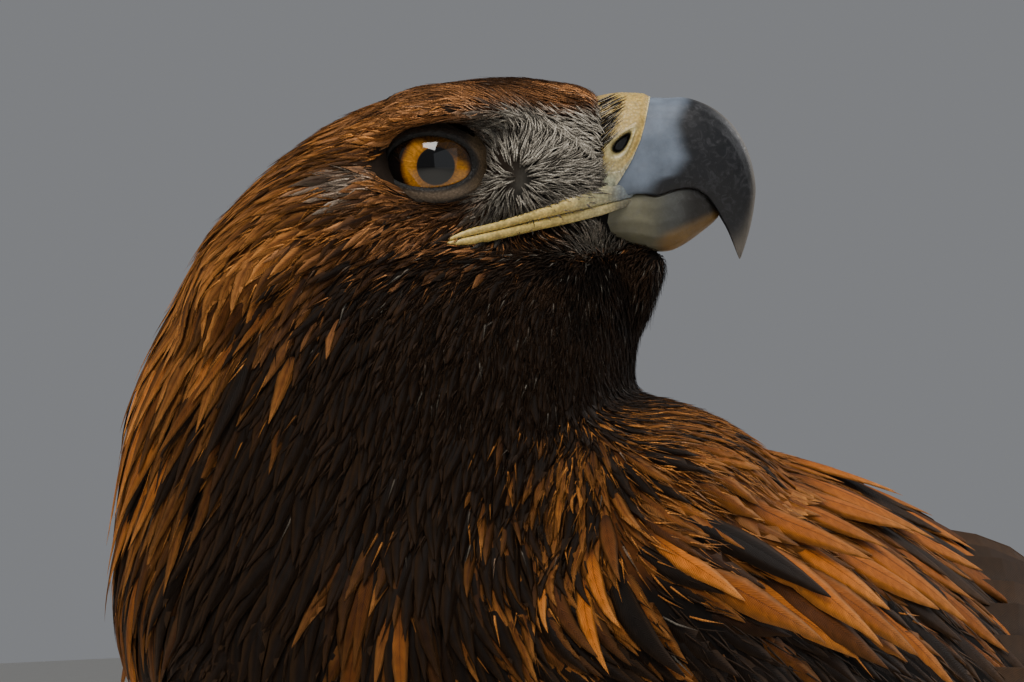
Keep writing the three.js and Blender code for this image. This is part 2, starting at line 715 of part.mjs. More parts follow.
function torsoWithMantle() {
  const vanes = cut(join(mantleVanes()), [wingSpace(), mirror(wingSpace())]);
  return join([torsoSolid(0), vanes]);
}

function neckSolid(whole) {
  const feathered = join([whole, ...hackleVanes()]);
  const neck = trim(feathered, vec(0, 0, -1), inHead(0, 0, neckCut - gap / 2));
  return cut(neck, [torsoSolid(gap), wingSpace(), mirror(wingSpace())]);
}

// Legs of the left side. The thigh's long feathers hang over the feathered shank.
const thighStations = [
  { z: 312, x: 52, y: 10, wide: 30, long: 54 },
  { z: 290, x: 56, y: 8, wide: 37, long: 60 },
  { z: 258, x: 61, y: 8, wide: 37, long: 57 },
  { z: 225, x: 64, y: 14, wide: 34, long: 48 },
  { z: 190, x: 66, y: 24, wide: 29, long: 39 },
  { z: 155, x: 68, y: 33, wide: 23, long: 30 },
  { z: 122, x: 69, y: 36, wide: 17, long: 22 },
];
const footPlace = { x: 70, y: 6 };
const heelHeight = tarsusLength + 34;
const shankStations = [
  { z: heelHeight + 14, x: 67, y: 38, r: 12 },
  { z: heelHeight, x: 67, y: 38, r: 15.5 },
  { z: heelHeight - 30, x: 68, y: 30, r: 14.5 },
  { z: 80, x: 69, y: 21, r: 13.5 },
  { z: 50, x: 70, y: 13, r: 13.5 },
  { z: 30, x: footPlace.x, y: 8.5, r: 16 },
  { z: 16, x: footPlace.x, y: 7, r: 16.5 },
];

const levelRing = ({ x, y, z }, wide, long, sides) => Array.from({ length: sides }, (_, j) => {
  const a = (2 * Math.PI * j) / sides;
  return vec(x + wide * Math.sin(a), y + long * Math.cos(a), z);
});

function thighSolid(lift) {
  return loft(thighStations.map((s) => levelRing(s, s.wide + lift, s.long + lift, 18)));
}

function shankSolid() {
  const shank = loft(shankStations.map((s) => levelRing(s, s.r, s.r * 1.08, 14)));
  return cut(shank, [thighSolid(gap), footSolid(gap)]);
}

// Toes, as directions from straight ahead towards the outside, with their claws' lengths across the curve.
const toes = [
  { turn: -36, length: 43, claw: 43 },
  { turn: 3, length: middleToeLength, claw: 33 },
  { turn: 41, length: 49, claw: 28 },
  { turn: 180, length: 36, claw: hindClawLength },
];
const toeWay = (turn) => vec(Math.sin(turn * deg), -Math.cos(turn * deg), 0);
const flatDepth = 0.7; // how far the soles are cut flat

// A tube along points of { p, r }, a little taller than wide when tall is over 1.
function tube(points, sides, tall = 1) {
  return loft(points.map(({ p, r }, i) => {
    const way = points[Math.min(i + 1, points.length - 1)].p.clone();
    way.sub(points[Math.max(i - 1, 0)].p).normalize();
    const side = new THREE.Vector3().crossVectors(way, vec(0, 0, 1)).normalize();
    const up = new THREE.Vector3().crossVectors(side, way);
    return Array.from({ length: sides }, (_, j) => {
      const a = (2 * Math.PI * (j + 0.5)) / sides;
      return p.clone().addScaledVector(side, r * Math.cos(a)).addScaledVector(up, r * tall * Math.sin(a));
    });
  }));
}

// One toe with its two pads; the soles lie a little under the floor, where they are cut flat.
function toeSolid({ turn, length }, lift) {
  const sides = 8;
  const sole = Math.cos(Math.PI / sides);
  const pads = [
    { t: 0, r: 1.2, rise: 1.6 },
    { t: 0.35, r: 1.04, rise: 0 },
    { t: 0.55, r: 0.88, rise: 0.5 },
    { t: 0.76, r: 0.98, rise: 0 },
    { t: 1, r: 0.78, rise: 0.2 },
  ];
  return tube(pads.map(({ t, r, rise }) => ({
    p: vec(footPlace.x, footPlace.y, toeRadius * r * sole - flatDepth + rise)
      .addScaledVector(toeWay(turn), length * t),
    r: toeRadius * r + lift,
  })), sides);
}

// Bent downwards from its toe's end, with its tip just clear of the floor.
function clawSolid({ turn, length, claw }, lift = 0) {
  const bow = 104 * deg;
  const radius = claw / (2 * Math.sin(bow / 2));
  const start = toeRadius;
  const end = 1.4; // height of the tip's middle
  const fall = Math.asin((end - start) / claw);
  const root = vec(footPlace.x, footPlace.y, start).addScaledVector(toeWay(turn), length - 5);
  return tube([0, 0.22, 0.45, 0.68, 0.86, 1].map((t) => {
    const chord = 2 * radius * Math.sin((bow * t) / 2);
    const way = fall + bow / 2 - (bow * t) / 2;
    const p = root.clone().addScaledVector(toeWay(turn), chord * Math.cos(way));
    p.z += chord * Math.sin(way);
    return { p, r: lerp(clawRadius, 0.7, t ** 1.15) + lift };
  }), 8, 1.25);
}

function footSolid(lift) {
  const pad = tube([
    { p: vec(footPlace.x, footPlace.y + 15, 11.5), r: 8 + lift },
    { p: vec(footPlace.x, footPlace.y + 8, 12), r: 12.4 + lift },
    { p: vec(footPlace.x, footPlace.y - 4, 12), r: 13.4 + lift },
    { p: vec(footPlace.x, footPlace.y - 14, 10), r: 9.5 + lift },
  ], 8);
  const foot = join([pad, ...toes.map((toe) => toeSolid(toe, lift))]);
  if (lift > 0) {
    return foot;
  }
  const flat = trim(foot, vec(0, 0, 1), vec(0, 0, 0));
  return cut(flat, toes.map((toe) => clawSolid(toe, gap)));
}

const whole = headAndNeck();
node("head", headSolid(whole), featherBrown);
node("cere", cereSolid(), skinYellow);
node("bill_upper", hornSolid(), hornBlue);
const mouth = [billSolid(upperBill, gap), lipSolid(1, gap), lipSolid(-1, gap)];
node("bill_lower", cut(billSolid(lowerBill), mouth), hornBlue);
node("eye_right", eyeball(1), eyeAmber);
node("eye_left", eyeball(-1), eyeAmber);
node("neck", neckSolid(whole), hackleGold);
node("torso", torsoWithMantle(), featherBrown);
node("tail", tailSolid(), featherBrown);
const neckSpace = loft(neckStations.map((s) => neckRing(s.w, gap)));
const wing = wingSolid();
node("wing_left", cut(wing, [neckSpace]), featherBrown);
node("wing_right", cut(mirror(wing), [neckSpace]), featherBrown);

const thigh = cut(thighSolid(0), [torsoSolid(gap)]);
const legParts = { thigh, tarsus: shankSolid(), foot: footSolid(0) };
toes.forEach((toe, i) => {
  legParts[`claw_${i + 1}`] = clawSolid(toe);
});
for (const [part, solid] of Object.entries(legParts)) {
  const skin = part === "foot" ? skinYellow : featherBrown;
  const material = part.startsWith("claw") ? clawBlack : skin;
  node(`${part}_left`, solid, material);
  node(`${part}_right`, mirror(solid), material);
}

// The whole bird stands with its feet's flats at z = 0 and its bounds centred on the origin.
const eagle = new THREE.Group();
eagle.add(...meshes);
const bounds = new THREE.Box3().setFromObject(eagle);
const centre = bounds.getCenter(vec(0, 0, 0));
eagle.position.set(-centre.x, -centre.y, -bounds.min.z);

export default eagle;
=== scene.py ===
# A golden eagle standing life-size, head turned back over its left shoulder.
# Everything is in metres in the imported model's frame: -Y is the way the body faces, +X its left, +Z up.
import math
import bpy
import numpy as np
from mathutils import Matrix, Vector
from mathutils.bvhtree import BVHTree
from mathutils.kdtree import KDTree


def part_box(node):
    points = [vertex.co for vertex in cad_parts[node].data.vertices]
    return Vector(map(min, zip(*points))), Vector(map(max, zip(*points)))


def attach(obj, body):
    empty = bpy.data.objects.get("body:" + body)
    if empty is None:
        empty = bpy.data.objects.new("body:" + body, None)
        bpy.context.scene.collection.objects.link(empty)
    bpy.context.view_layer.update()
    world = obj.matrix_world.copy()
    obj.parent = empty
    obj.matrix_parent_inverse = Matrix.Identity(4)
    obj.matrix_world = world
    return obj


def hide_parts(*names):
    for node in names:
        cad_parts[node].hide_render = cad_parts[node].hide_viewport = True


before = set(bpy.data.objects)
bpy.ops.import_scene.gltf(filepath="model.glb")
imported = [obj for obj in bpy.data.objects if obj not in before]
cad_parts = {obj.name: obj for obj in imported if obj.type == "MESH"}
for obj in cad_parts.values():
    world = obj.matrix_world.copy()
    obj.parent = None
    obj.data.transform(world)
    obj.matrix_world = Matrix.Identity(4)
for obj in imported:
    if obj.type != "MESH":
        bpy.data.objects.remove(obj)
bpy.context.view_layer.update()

mm = 0.001
random = np.random.default_rng(11)


def vec(*numbers):
    return np.array(numbers, float)


def unit(v):
    return v / np.maximum(np.linalg.norm(v, axis=-1, keepdims=True), 1e-9)


def smooth(t):
    t = np.clip(t, 0, 1)
    return t * t * (3 - 2 * t)


def mix(a, b, share):  # from one colour or direction to another, by each place's share
    return a + (b - a) * np.asarray(share)[..., None]


def linear(hexColor):  # sRGB hex to the linear values that the shaders take
    value = int(hexColor, 16)
    parts = [((value >> shift) & 255) / 255 for shift in (16, 8, 0)]
    return vec(*[p / 12.92 if p <= 0.04045 else ((p + 0.055) / 1.055) ** 2.4 for p in parts])


def paints(**hexColors):
    return {name: linear(value) for name, value in hexColors.items()}


def table(columns, *rows):
    return [dict(zip(columns.split(), row)) for row in rows]


# The head's own directions. The eyes of the frame give its middle; the bill points along billWay.
headTurn = math.radians(135)
billWay = vec(math.sin(headTurn), -math.cos(headTurn), 0)
sideWay = vec(billWay[1], -billWay[0], 0)  # towards the bird's right cheek, which the camera sees
upWay = vec(0, 0, 1)


def middleOf(node):
    low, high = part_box(node)
    return vec(*((low + high) / 2))


eyeSpot = dict(u=1.2, w=-0.4, ball=13.5)  # eyes from the head's middle, in mm
headMiddle = (middleOf("eye_right") + middleOf("eye_left")) / 2 - mm * (eyeSpot["u"] * billWay + eyeSpot["w"] * upWay)
eyeSide = np.linalg.norm(middleOf("eye_right") - middleOf("eye_left")) / 2 / mm
torsoEnd = 0.232  # the torso's end behind, in the sizes below, which start at the body's middle
shift = vec(0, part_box("torso")[1][1] - torsoEnd, 0)


def inHead(u, side, w):  # mm in the head's directions to metres in the frame
    u, side, w = np.broadcast_arrays(np.asarray(u, float), side, w)
    spots = u[..., None] * billWay + side[..., None] * sideWay + w[..., None] * upWay
    return headMiddle + mm * spots


def headPlace(points):  # the other way: u, side and w in mm
    away = (points - headMiddle) / mm
    return away @ billWay, away @ sideWay, away[..., 2]


def through(stations, at, names):  # smooth values out of a few stations, one for each name
    keys = vec(*[row["at"] for row in stations])
    at = np.clip(at, keys[0], keys[-1])
    i = np.clip(np.searchsorted(keys, at) - 1, 0, len(keys) - 2)
    span = keys[i + 1] - keys[i]
    t = (at - keys[i]) / span
    s = 1 - t
    found = []
    for name in names.split():
        values = vec(*[row[name] for row in stations])
        slopes = np.gradient(values, keys)
        found.append(values[i] * s * s * (1 + 2 * t) + values[i + 1] * t * t * (3 - 2 * t)
                     + slopes[i] * span * t * s * s - slopes[i + 1] * span * t * t * s)
    return found if len(found) > 1 else found[0]


def onLine(value, line):  # the height of a line of points, such as the gape's, at a value
    return np.interp(value, *zip(*line))


def between(pair, share):
    return pair[0] + (pair[1] - pair[0]) * share


def only(*objects):  # selects these and nothing else
    bpy.ops.object.select_all(action="DESELECT")
    for piece in objects:
        piece.select_set(True)
    bpy.context.view_layer.objects.active = objects[0]


def fetch(items, name, width=3, kind=float):  # one property of all the items, in rows of this width
    out = np.empty(len(items) * width, kind)
    items.foreach_get(name, out)
    return out.reshape(-1, width) if width > 1 else out


def points(piece):
    return fetch(piece.data.vertices, "co")


def movePoints(piece, places):
    piece.data.vertices.foreach_set("co", np.asarray(places, float).ravel())
    piece.data.update()


def fuse(parts, name, voxel):  # one closed mesh out of overlapping ones
    only(*parts)
    bpy.ops.object.join()
    piece = bpy.context.object
    piece.name = name
    piece.data.remesh_voxel_size = voxel
    bpy.ops.object.voxel_remesh()
    return piece


def relax(piece, times):
    modifier = piece.modifiers.new("Smooth", "SMOOTH")
    modifier.factor = 0.5
    modifier.iterations = times
    only(piece)
    bpy.ops.object.modifier_apply(modifier=modifier.name)


def turnOutwards(piece):
    only(piece)
    bpy.ops.object.mode_set(mode="EDIT")
    bpy.ops.mesh.select_all(action="SELECT")
    bpy.ops.mesh.remove_doubles(threshold=1e-6)
    bpy.ops.mesh.normals_make_consistent(inside=False)
    bpy.ops.object.mode_set(mode="OBJECT")


def form(name, place, segments=48, rings=32):
    # a ball whose pole-to-pole share t and turn a are sent to places by a rule
    bpy.ops.mesh.primitive_uv_sphere_add(segments=segments, ring_count=rings, radius=1)
    piece = bpy.context.object
    piece.name = name
    spots = points(piece)
    t = np.arccos(np.clip(spots[:, 2], -1, 1)) / math.pi
    a = np.arctan2(spots[:, 1], spots[:, 0])
    movePoints(piece, place(t, a))
    turnOutwards(piece)
    return piece


def rounded(value, power):  # cosine or sine drawn towards a box
    return np.sign(value) * np.abs(value) ** (2 / power)


def paintVertices(piece, colours):
    colours = np.reshape(colours, (-1, 3))
    tint = piece.data.attributes.new("Tint", "FLOAT_COLOR", "POINT")
    tint.data.foreach_set("color", np.concatenate([colours, np.ones((len(colours), 1))], 1).ravel())


def finishPiece(piece, material, nodes):
    piece.data.materials.append(material)
    only(piece)
    bpy.ops.object.shade_smooth()
    if nodes:
        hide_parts(*nodes)
    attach(piece, "root")


# Skin under the coat, in mm: each form is given by sections along it
skinLook = dict(torsoDepth=4, neckDepth=2.5, headDepth=1.8, wingDepth=3, thighDepth=8, shankDepth=2,
                voxel=0.0026, smoothing=6)
torsoForm = table(
    "at mid up half", (-188, 390, 3, 3), (-186, 390, 8, 8), (-172, 390, 34, 36), (-145, 390, 58, 62),
    (-105, 387, 76, 82), (-55, 378, 84, 92), (5, 361, 83, 94), (65, 345, 77, 84), (125, 324, 60, 66),
    (175, 299, 42, 46), (212, 278, 25, 32), (232, 268, 6, 10))
wingForm = table(
    "at mid up half", (-150, 388, 58, 64), (-112, 386, 84, 95), (-60, 375, 95, 107), (0, 361, 95, 108),
    (65, 343, 86, 100), (125, 323, 73, 84), (185, 297, 59, 68), (255, 262, 45, 53), (335, 221, 32, 42),
    (467, 161, 18, 26))
wingRims = table("at top low", (-138, 52, 122), (-60, 32, 118), (60, 25, 112), (160, 14, 104), (447, 12, 70))
headForm = table(
    "at top low half", (-71, -44, -50, 3), (-69, -38, -56, 12), (-62, -25, -60, 26), (-50, -10, -58, 34),
    (-35, 4.4, -52, 37), (-18, 15.2, -46, 36), (0, 21.2, -42, 33), (15, 23.4, -38, 29), (28, 22.8, -33, 22.5),
    (44, 15.2, -27, 14.5), (50, 2, -26, 9), (58, -17, -24.6, 4.5))
neckForm = table(
    "at mid long wide", (-156, -2, 56, 58), (-136, -6, 66, 65), (-118, -8, 71, 67), (-90, -12, 67.5, 58),
    (-60, -12, 64.5, 50), (-40, -8, 61, 44), (-22, -4, 54, 36), (-8, -4, 42, 26))
chinForm = table(
    "at top low half", (34, -16, -52, 16), (42, -14.6, -50, 14.5), (48, -17.6, -48, 13), (53, -19, -41, 11),
    (56, -20, -33, 9.4), (58.5, -21.2, -28, 7), (60.5, -22.6, -25, 3))
saddle = dict(u=42, w=-89, long=51, wide=52, tall=34.5)  # fills the bend between the neck and the back
thighForm = table(
    "at x y wide long", (122, 69, 36, 17, 22), (155, 68, 33, 23, 30), (190, 66, 24, 29, 39), (225, 64, 14, 34, 48),
    (258, 61, 8, 37, 57), (290, 56, 8, 37, 60), (312, 52, 10, 30, 54))
shankForm = table(
    "at x y wide long", (16, 70, 7, 16.5, 17.5), (30, 70, 8.5, 16, 17), (50, 70, 13, 13.5, 14.5),
    (80, 69, 21, 13.5, 14.5), (112, 68, 30, 14.5, 15.5), (142, 67, 38, 15.5, 16.5), (156, 67, 38, 12, 13))
browForm = dict(u=[-23, -15, -7, 6, 16, 28], out=[24.5, 28.5, 34.5, 35.2, 29, 18], low=[2.5, 5.8, 10.4, 12.2, 11, 8],
                wide=0.24, slope=0.42, thick=3.2)
eyeHollow = dict(back=0.8, long=13.5, tall=9.6, deep=9)


def body(x, y, z):  # mm on the bird to metres in the frame
    return np.stack(np.broadcast_arrays(x, y, z), -1) * mm + shift


def overBody(stations, y, angle, lift):  # a point of the torso or of the folded wing's envelope
    mid, up, half = through(stations, y, "mid up half")
    return body((half + lift) * np.sin(angle), y, mid + (up + lift) * np.cos(angle))


def closing(t):  # draws the ends of a form in round
    return np.sqrt(np.clip(np.sin(t * math.pi) * 3, 0, 1))


def torsoPart(depth):
    def place(t, a):
        y = np.interp(t, [0, 1], [-187 + depth, 230 - depth])
        mid, up, half = through(torsoForm, y, "mid up half")
        near = closing(t)
        return body(np.maximum(half - depth, 2) * near * np.sin(a), y,
                    mid + np.maximum(up - depth, 2) * near * np.cos(a))
    return form("torsoForm", place, 64, 48)


def wingPart(depth, hand):  # the arm and hand of the folded wing, under its feathers
    def place(t, a):
        y = np.interp(t, [0, 1], [-134, 190])
        top, low = np.radians(through(wingRims, y, "top low"))
        thick = 11 * closing(t)
        angle = (top + low) / 2 + (low - top) / 2 * rounded(np.sin(a), 2.6) * closing(t)
        spots = overBody(wingForm, y, angle, thick * np.cos(a) - depth - 9)
        spots[:, 0] *= hand
        return spots
    return form("wingForm", place, 48, 40)


def headPart(depth):
    def place(t, a):
        u = np.interp(t, [0, 1], [-70 + depth, 57 - depth])
        top, low, half = through(headForm, u, "top low half")
        near = closing(t)
        tall = np.maximum((top - low) / 2 - depth, 1) * near
        half = np.maximum(half - depth, 1) * near
        return inHead(u, half * rounded(np.sin(a), 2.2), (top + low) / 2 + tall * rounded(np.cos(a), 2.2))
    return form("headForm", place, 64, 56)


def chinPart(depth):
    def place(t, a):
        u = np.interp(t, [0, 1], [34, 60.5 - depth])
        top, low, half = through(chinForm, u, "top low half")
        top, low = top - depth / 2, low + depth
        near = closing(t)
        half = np.maximum(half - depth, 1) * near
        return inHead(u, half * rounded(np.sin(a), 2.2), (top + low) / 2 + (top - low) / 2 * near * np.cos(a))
    return form("chinForm", place, 48, 32)


def saddlePart(depth):
    def place(t, a):
        out = np.sin(t * math.pi)
        u = saddle["u"] + (saddle["long"] - depth) * out * np.cos(a)
        w = saddle["w"] + (saddle["tall"] - depth) * np.cos(t * math.pi)
        return inHead(u, (saddle["wide"] - depth) * out * np.sin(a), w)
    return form("saddleForm", place, 48, 32)


def neckPart(depth):
    def place(t, a):
        w = np.interp(t, [0, 1], [-8, -156])
        mid, long, wide = through(neckForm, w, "mid long wide")
        near = closing(t)
        return inHead(mid + (long - depth) * near * np.cos(a), (wide - depth) * near * np.sin(a), w)
    return form("neckForm", place, 56, 32)


def legPart(stations, depth, hand):
    def place(t, a):
        z = np.interp(t, [0, 1], [stations[0]["at"], stations[-1]["at"]])
        x, y, wide, long = through(stations, z, "x y wide long")
        near = closing(t)
        return body(hand * (x + (wide - depth) * near * np.sin(a)), y + (long - depth) * near * np.cos(a), z)
    return form("legForm", place, 32, 24)


def browPart(hand):  # the bony shelf that shades the eye, sloping down from the crown
    def place(t, a):
        u = np.interp(t, [0, 1], [browForm["u"][0], browForm["u"][-1]])
        out, low = (np.interp(u, browForm["u"], browForm[part]) for part in ("out", "low"))
        near = closing(t)
        wide = browForm["wide"] * out
        side = out - wide + wide * near * np.cos(a)
        w = low + browForm["thick"] * (1 + near * np.sin(a)) + browForm["slope"] * (out - wide - side)
        return inHead(u, hand * side, w)
    return form("browForm", place, 24, 20)


def sinkEyes(piece):  # sinks the skin round each eyeball
    u, side, w = headPlace(points(piece))
    near = np.hypot((u - eyeSpot["u"] + eyeHollow["back"]) / eyeHollow["long"], (w - eyeSpot["w"]) / eyeHollow["tall"])
    deep = eyeHollow["deep"] * (1 - smooth((near - 0.55) / 0.75))
    side = np.where((np.abs(side) > 12) & (near < 1.4), np.sign(side) * (np.abs(side) - deep), side)
    movePoints(piece, inHead(u, side, w))


def makeSkin():
    look = skinLook
    parts = [torsoPart(look["torsoDepth"]), neckPart(look["neckDepth"]), headPart(look["headDepth"]),
             chinPart(look["headDepth"]), saddlePart(look["neckDepth"])]
    for hand in (1, -1):
        parts += [wingPart(look["wingDepth"], hand), legPart(thighForm, look["thighDepth"], hand),
                  legPart(shankForm, look["shankDepth"], hand), browPart(hand)]
    skin = fuse(parts, "skin", look["voxel"])
    sinkEyes(skin)
    relax(skin, look["smoothing"])
    return skin


skin = makeSkin()
print("skin", len(skin.data.polygons))


# Materials
def addNode(tree, kind, settings=None, values=None, links=None, out=0, to=None):
    # adds a node with its settings and links, and gives one of its outputs
    node = tree.nodes.new("ShaderNode" + kind)
    for name, value in (settings or {}).items():
        setattr(node, name, value)
    for socket, value in (values or {}).items():
        node.inputs[socket].default_value = value
    for socket, source in (links or {}).items():
        tree.links.new(source, node.inputs[socket])
    if to is not None:
        tree.links.new(node.outputs[out], to)
    return node.outputs[out]


def fromTo(low, high, start, end):  # what a MapRange turns into what
    return {"From Min": low, "From Max": high, "To Min": start, "To Max": end}


def newMaterial(name, **values):  # values are the shader's own sockets
    material = bpy.data.materials.new(name)
    material.use_nodes = True
    sockets = material.node_tree.nodes["Principled BSDF"].inputs
    for socket, value in values.items():
        sockets[socket].default_value = value
    return material, material.node_tree, sockets


# Vane of keratin barbs: matt with a faint sheen along the barbs, which lean from the shaft to the tip
vaneLook = dict(barbSpacing=0.75, barbLean=1.25, barbWaver=0.16, barbShade=0.34, splitSize=2.2, bump=0.35,
                sheen="b98a5c")


def vaneMaterial():
    look = vaneLook
    material, tree, sockets = newMaterial(
        "keratinVane", **{"Roughness": 0.65, "Specular IOR Level": 0.08, "Sheen Weight": 0.05,
                          "Sheen Roughness": 0.4, "Sheen Tint": (*linear(look["sheen"]), 1)})
    tint = addNode(tree, "Attribute", dict(attribute_name="Tint"), out="Color")
    vane = addNode(tree, "UVMap", dict(uv_map="Vane"))  # centimetres across and along the feather
    across = addNode(tree, "SeparateXYZ", links={0: vane})
    away = addNode(tree, "Math", dict(operation="ABSOLUTE"), links={0: across})
    lean = addNode(tree, "Math", dict(operation="MULTIPLY_ADD"), {1: -look["barbLean"]},
                   {0: away, 2: across.node.outputs[1]})
    waver = addNode(tree, "TexNoise", None, {"Scale": 10 / look["splitSize"], "Detail": 3}, {"Vector": vane}, "Fac")
    bent = addNode(tree, "Math", dict(operation="MULTIPLY_ADD"), {1: look["barbWaver"]}, {0: waver, 2: lean})
    turns = addNode(tree, "Math", dict(operation="MULTIPLY"), {1: 2 * math.pi * 10 / look["barbSpacing"]}, {0: bent})
    wave = addNode(tree, "Math", dict(operation="SINE"), links={0: turns})
    streak = addNode(tree, "MapRange", None, fromTo(-1, 1, 1 - look["barbShade"], 1 + look["barbShade"] / 2),
                     {"Value": wave})
    patch = addNode(tree, "MapRange", None, fromTo(0.3, 0.7, 0.78, 1.18), {"Value": waver})
    shade = addNode(tree, "Math", dict(operation="MULTIPLY"), links={0: streak, 1: patch})
    addNode(tree, "VectorMath", dict(operation="SCALE"), links={0: tint, "Scale": shade}, to=sockets["Base Color"])
    addNode(tree, "Bump", None, {"Strength": look["bump"], "Distance": 0.0003}, {"Height": wave},
            to=sockets["Normal"])
    return material


# Down and skin below the vanes, dark as the feathers' bases
def downMaterial():
    material, tree, sockets = newMaterial("downySkin", **{"Roughness": 0.9, "Specular IOR Level": 0.1})
    tint = addNode(tree, "Attribute", dict(attribute_name="Tint"), out="Color")
    place = addNode(tree, "TexCoord", out="Object")
    fluff = addNode(tree, "TexNoise", None, {"Scale": 900, "Detail": 2}, {"Vector": place}, "Fac")
    shade = addNode(tree, "MapRange", None, fromTo(0, 1, 0.35, 0.8), {"Value": fluff})
    addNode(tree, "VectorMath", dict(operation="SCALE"), links={0: tint, "Scale": shade}, to=sockets["Base Color"])
    return material


# Lie of the coat over the skin: the ways that feathers point, as shares of down, out or round the neck
depsgraph = bpy.context.evaluated_depsgraph_get()
skinTree = BVHTree.FromObject(skin, depsgraph)
neckAxis = inHead(-12, 0, 0)
loreWhorl = dict(u=20, w=-4, long=1, tall=1, reach=16, fade=16, lowest=-22)  # the lores' bristles fan out from here
lieLook = dict(cheek=1.25, jaw=0.5, twist=0.32, flare=0.12, breast=0.9, front=0.72, aside=0.22, leg=0.12)


def onSkin(spots):  # nearest places on the skin, with their normals and faces
    found = [skinTree.find_nearest(Vector(spot)) for spot in spots]
    return [np.array([hit[part] for hit in found]) for part in range(3)]


def fromMiddle(u, w, oval):  # distance from an oval's middle, 1 at its rim
    return np.hypot((u - oval["u"]) / oval["long"], (w - oval["w"]) / oval["tall"])


def onShoulder(u, w):  # share of the left shoulder below the turned head
    return smooth((u - 34) / 22) * smooth((-w - 60) / 16)


def lie(spots, normals):
    look = lieLook
    u, _, w = headPlace(spots)
    x, y, z = ((spots - shift) / mm).T
    down = -upWay
    cheek = look["cheek"] * smooth((6 - w) / 50) + look["jaw"] * smooth((u - 20) / 25) * smooth((-8 - w) / 12)
    head = unit(down * cheek[:, None] - billWay)
    du, dw = u - loreWhorl["u"], w - loreWhorl["w"]
    whorl = unit(billWay * du[:, None] + upWay * dw[:, None])
    bend = np.hypot(du, dw) + 0.8 * np.clip(dw, 0, None) + 0.7 * np.clip(-du, 0, None)
    fan = (1 - smooth((bend - loreWhorl["reach"]) / loreWhorl["fade"])) * smooth((np.hypot(du, dw) - 0.5) / 3)
    head = mix(head, whorl, fan * (w > loreWhorl["lowest"]))
    around = unit(spots * vec(1, 1, 0) - neckAxis * vec(1, 1, 0))
    turning = np.cross(around, upWay)  # the skin turns with the head
    neck = down + look["twist"] * turning * smooth((-w - 25) / 40)[:, None] + look["flare"] * around
    fall = np.maximum(look["breast"] * smooth((-y - 60) / 90) * smooth((360 - z) / 60),
                      look["front"] * smooth((90 - y) / 60))
    trunk = vec(0, 1, 0) + down * fall[:, None] + np.sign(spots[:, :1]) * vec(look["aside"], 0, 0)
    way = mix(head, neck, smooth((-w - 22) / 40) * smooth((-u + 62) / 20))
    away = np.hypot(*(spots - neckAxis)[:, :2].T) / mm
    farSide, nearSide = smooth((away - 56) / 34), smooth((u + 0.15 * (w + 115) - 36) / 32)
    shoulder = (farSide + (nearSide - farSide) * smooth(x / 40 + 0.75)) * smooth((-w - 44) / 24)
    way = mix(way, trunk, np.maximum(smooth((-w - 78) / 55), shoulder) * smooth((y + 175) / 60))
    way = mix(way, down + vec(0, look["leg"], 0), smooth((285 - z) / 45) * smooth((np.abs(x) - 30) / 15))
    return unit(way - normals * np.sum(way * normals, -1, keepdims=True))


gapeLine = [(3.6, -19.7), (16, -16.8), (27, -13.9), (34.6, -12.1), (42.3, -10.2), (48, -8.8), (51.5, -7.9)]
chinLine = [(38, -13), (42.5, -13), (47, -17), (51, -17.7), (55, -19), (61, -21.2), (66, -24)]


# Markings, the same for skin and coat: shares of gold, dark brown, crown brown and grey at a place
markingLook = dict(
    goldLeft=[(-160, 244), (-120, 248), (-84, 252), (-59, 260), (-34, 284), (-20, 300)],
    goldRight=[(-160, -8), (-120, -11), (-112, -9), (-100, -5), (-85, -2), (-72, 8), (-62, 24), (-52, 80),
               (-34, 162), (-20, 170)],
    cheekLine=[(-60, -60), (-35, -34), (-13, -20), (4, -20), (14, -15), (58, -6)],
    shawl=140, shawlFloor=-105, lowest=-150, headEnd=-34, neckStart=-44,
    bib=dict(u=-12, w=-98, long=7, tall=13), behindEye=dict(u=-16.5, w=-5.5, long=5, tall=4.5))


def markings(spots, chance=0.0):
    look = markingLook
    u, side, w = headPlace(spots)
    away = spots - neckAxis
    turn = (np.degrees(np.arctan2(away[:, 1], away[:, 0])) + 60) % 360 - 60
    reach = np.hypot(away[:, 0], away[:, 1]) / mm
    fromEdge = np.minimum(onLine(w, look["goldLeft"]) - turn, turn - onLine(w, look["goldRight"]))  # in degrees
    neckGold = smooth((fromEdge + 15 * chance + 8) / 14)
    headGold = smooth((w - onLine(u, look["cheekLine"]) + 7 * chance + 3) / 6)
    high, low = look["headEnd"], look["neckStart"]
    joined = (headGold * (w - low) - neckGold * (w - high)) / (high - low)
    gold = np.where(w > high, headGold, np.where(w > low, joined, neckGold))
    gold = gold * smooth((look["shawl"] + 15 * chance - reach) / 14)
    gold = gold * np.where(turn < 90, smooth((w - look["shawlFloor"] + 10 * chance) / 8), 1)
    gold = gold * smooth((w - look["lowest"] + 12 * chance) / 14)
    crown = smooth((u + 34 + 14 * chance) / 36) * (w > -40)
    lip = onLine(u, gapeLine)
    grey = smooth((u - 8) / 9) * smooth((w - lip - 0.5) / 1.5) * smooth((14.5 - w) / 4)
    greyChin = smooth((u - 28 + 4 * chance) / 8) * smooth((lip - w + 1) / 2) * smooth((w - lip + 12) / 6)
    bib = smooth(1.4 - fromMiddle(u, w, look["bib"])) * (side > 20) * smooth(1.2 * chance + 0.85)
    behindEye = 0.8 * smooth(1.5 - fromMiddle(u, w, look["behindEye"])) * (np.abs(side) > 12)
    return np.maximum(gold, bib), crown, np.maximum(np.maximum(grey, 0.85 * greyChin), behindEye)


print("coat rules ready")


def balanced(seeds):  # a tree that finds the seeds near a place
    tree = KDTree(len(seeds))
    for i, seed in enumerate(seeds):
        tree.insert(seed, i)
    tree.balance()
    return tree


streakLook = dict(low=(-85, -50, -170), high=(60, 50, 30), long=4.5, across=4.2)


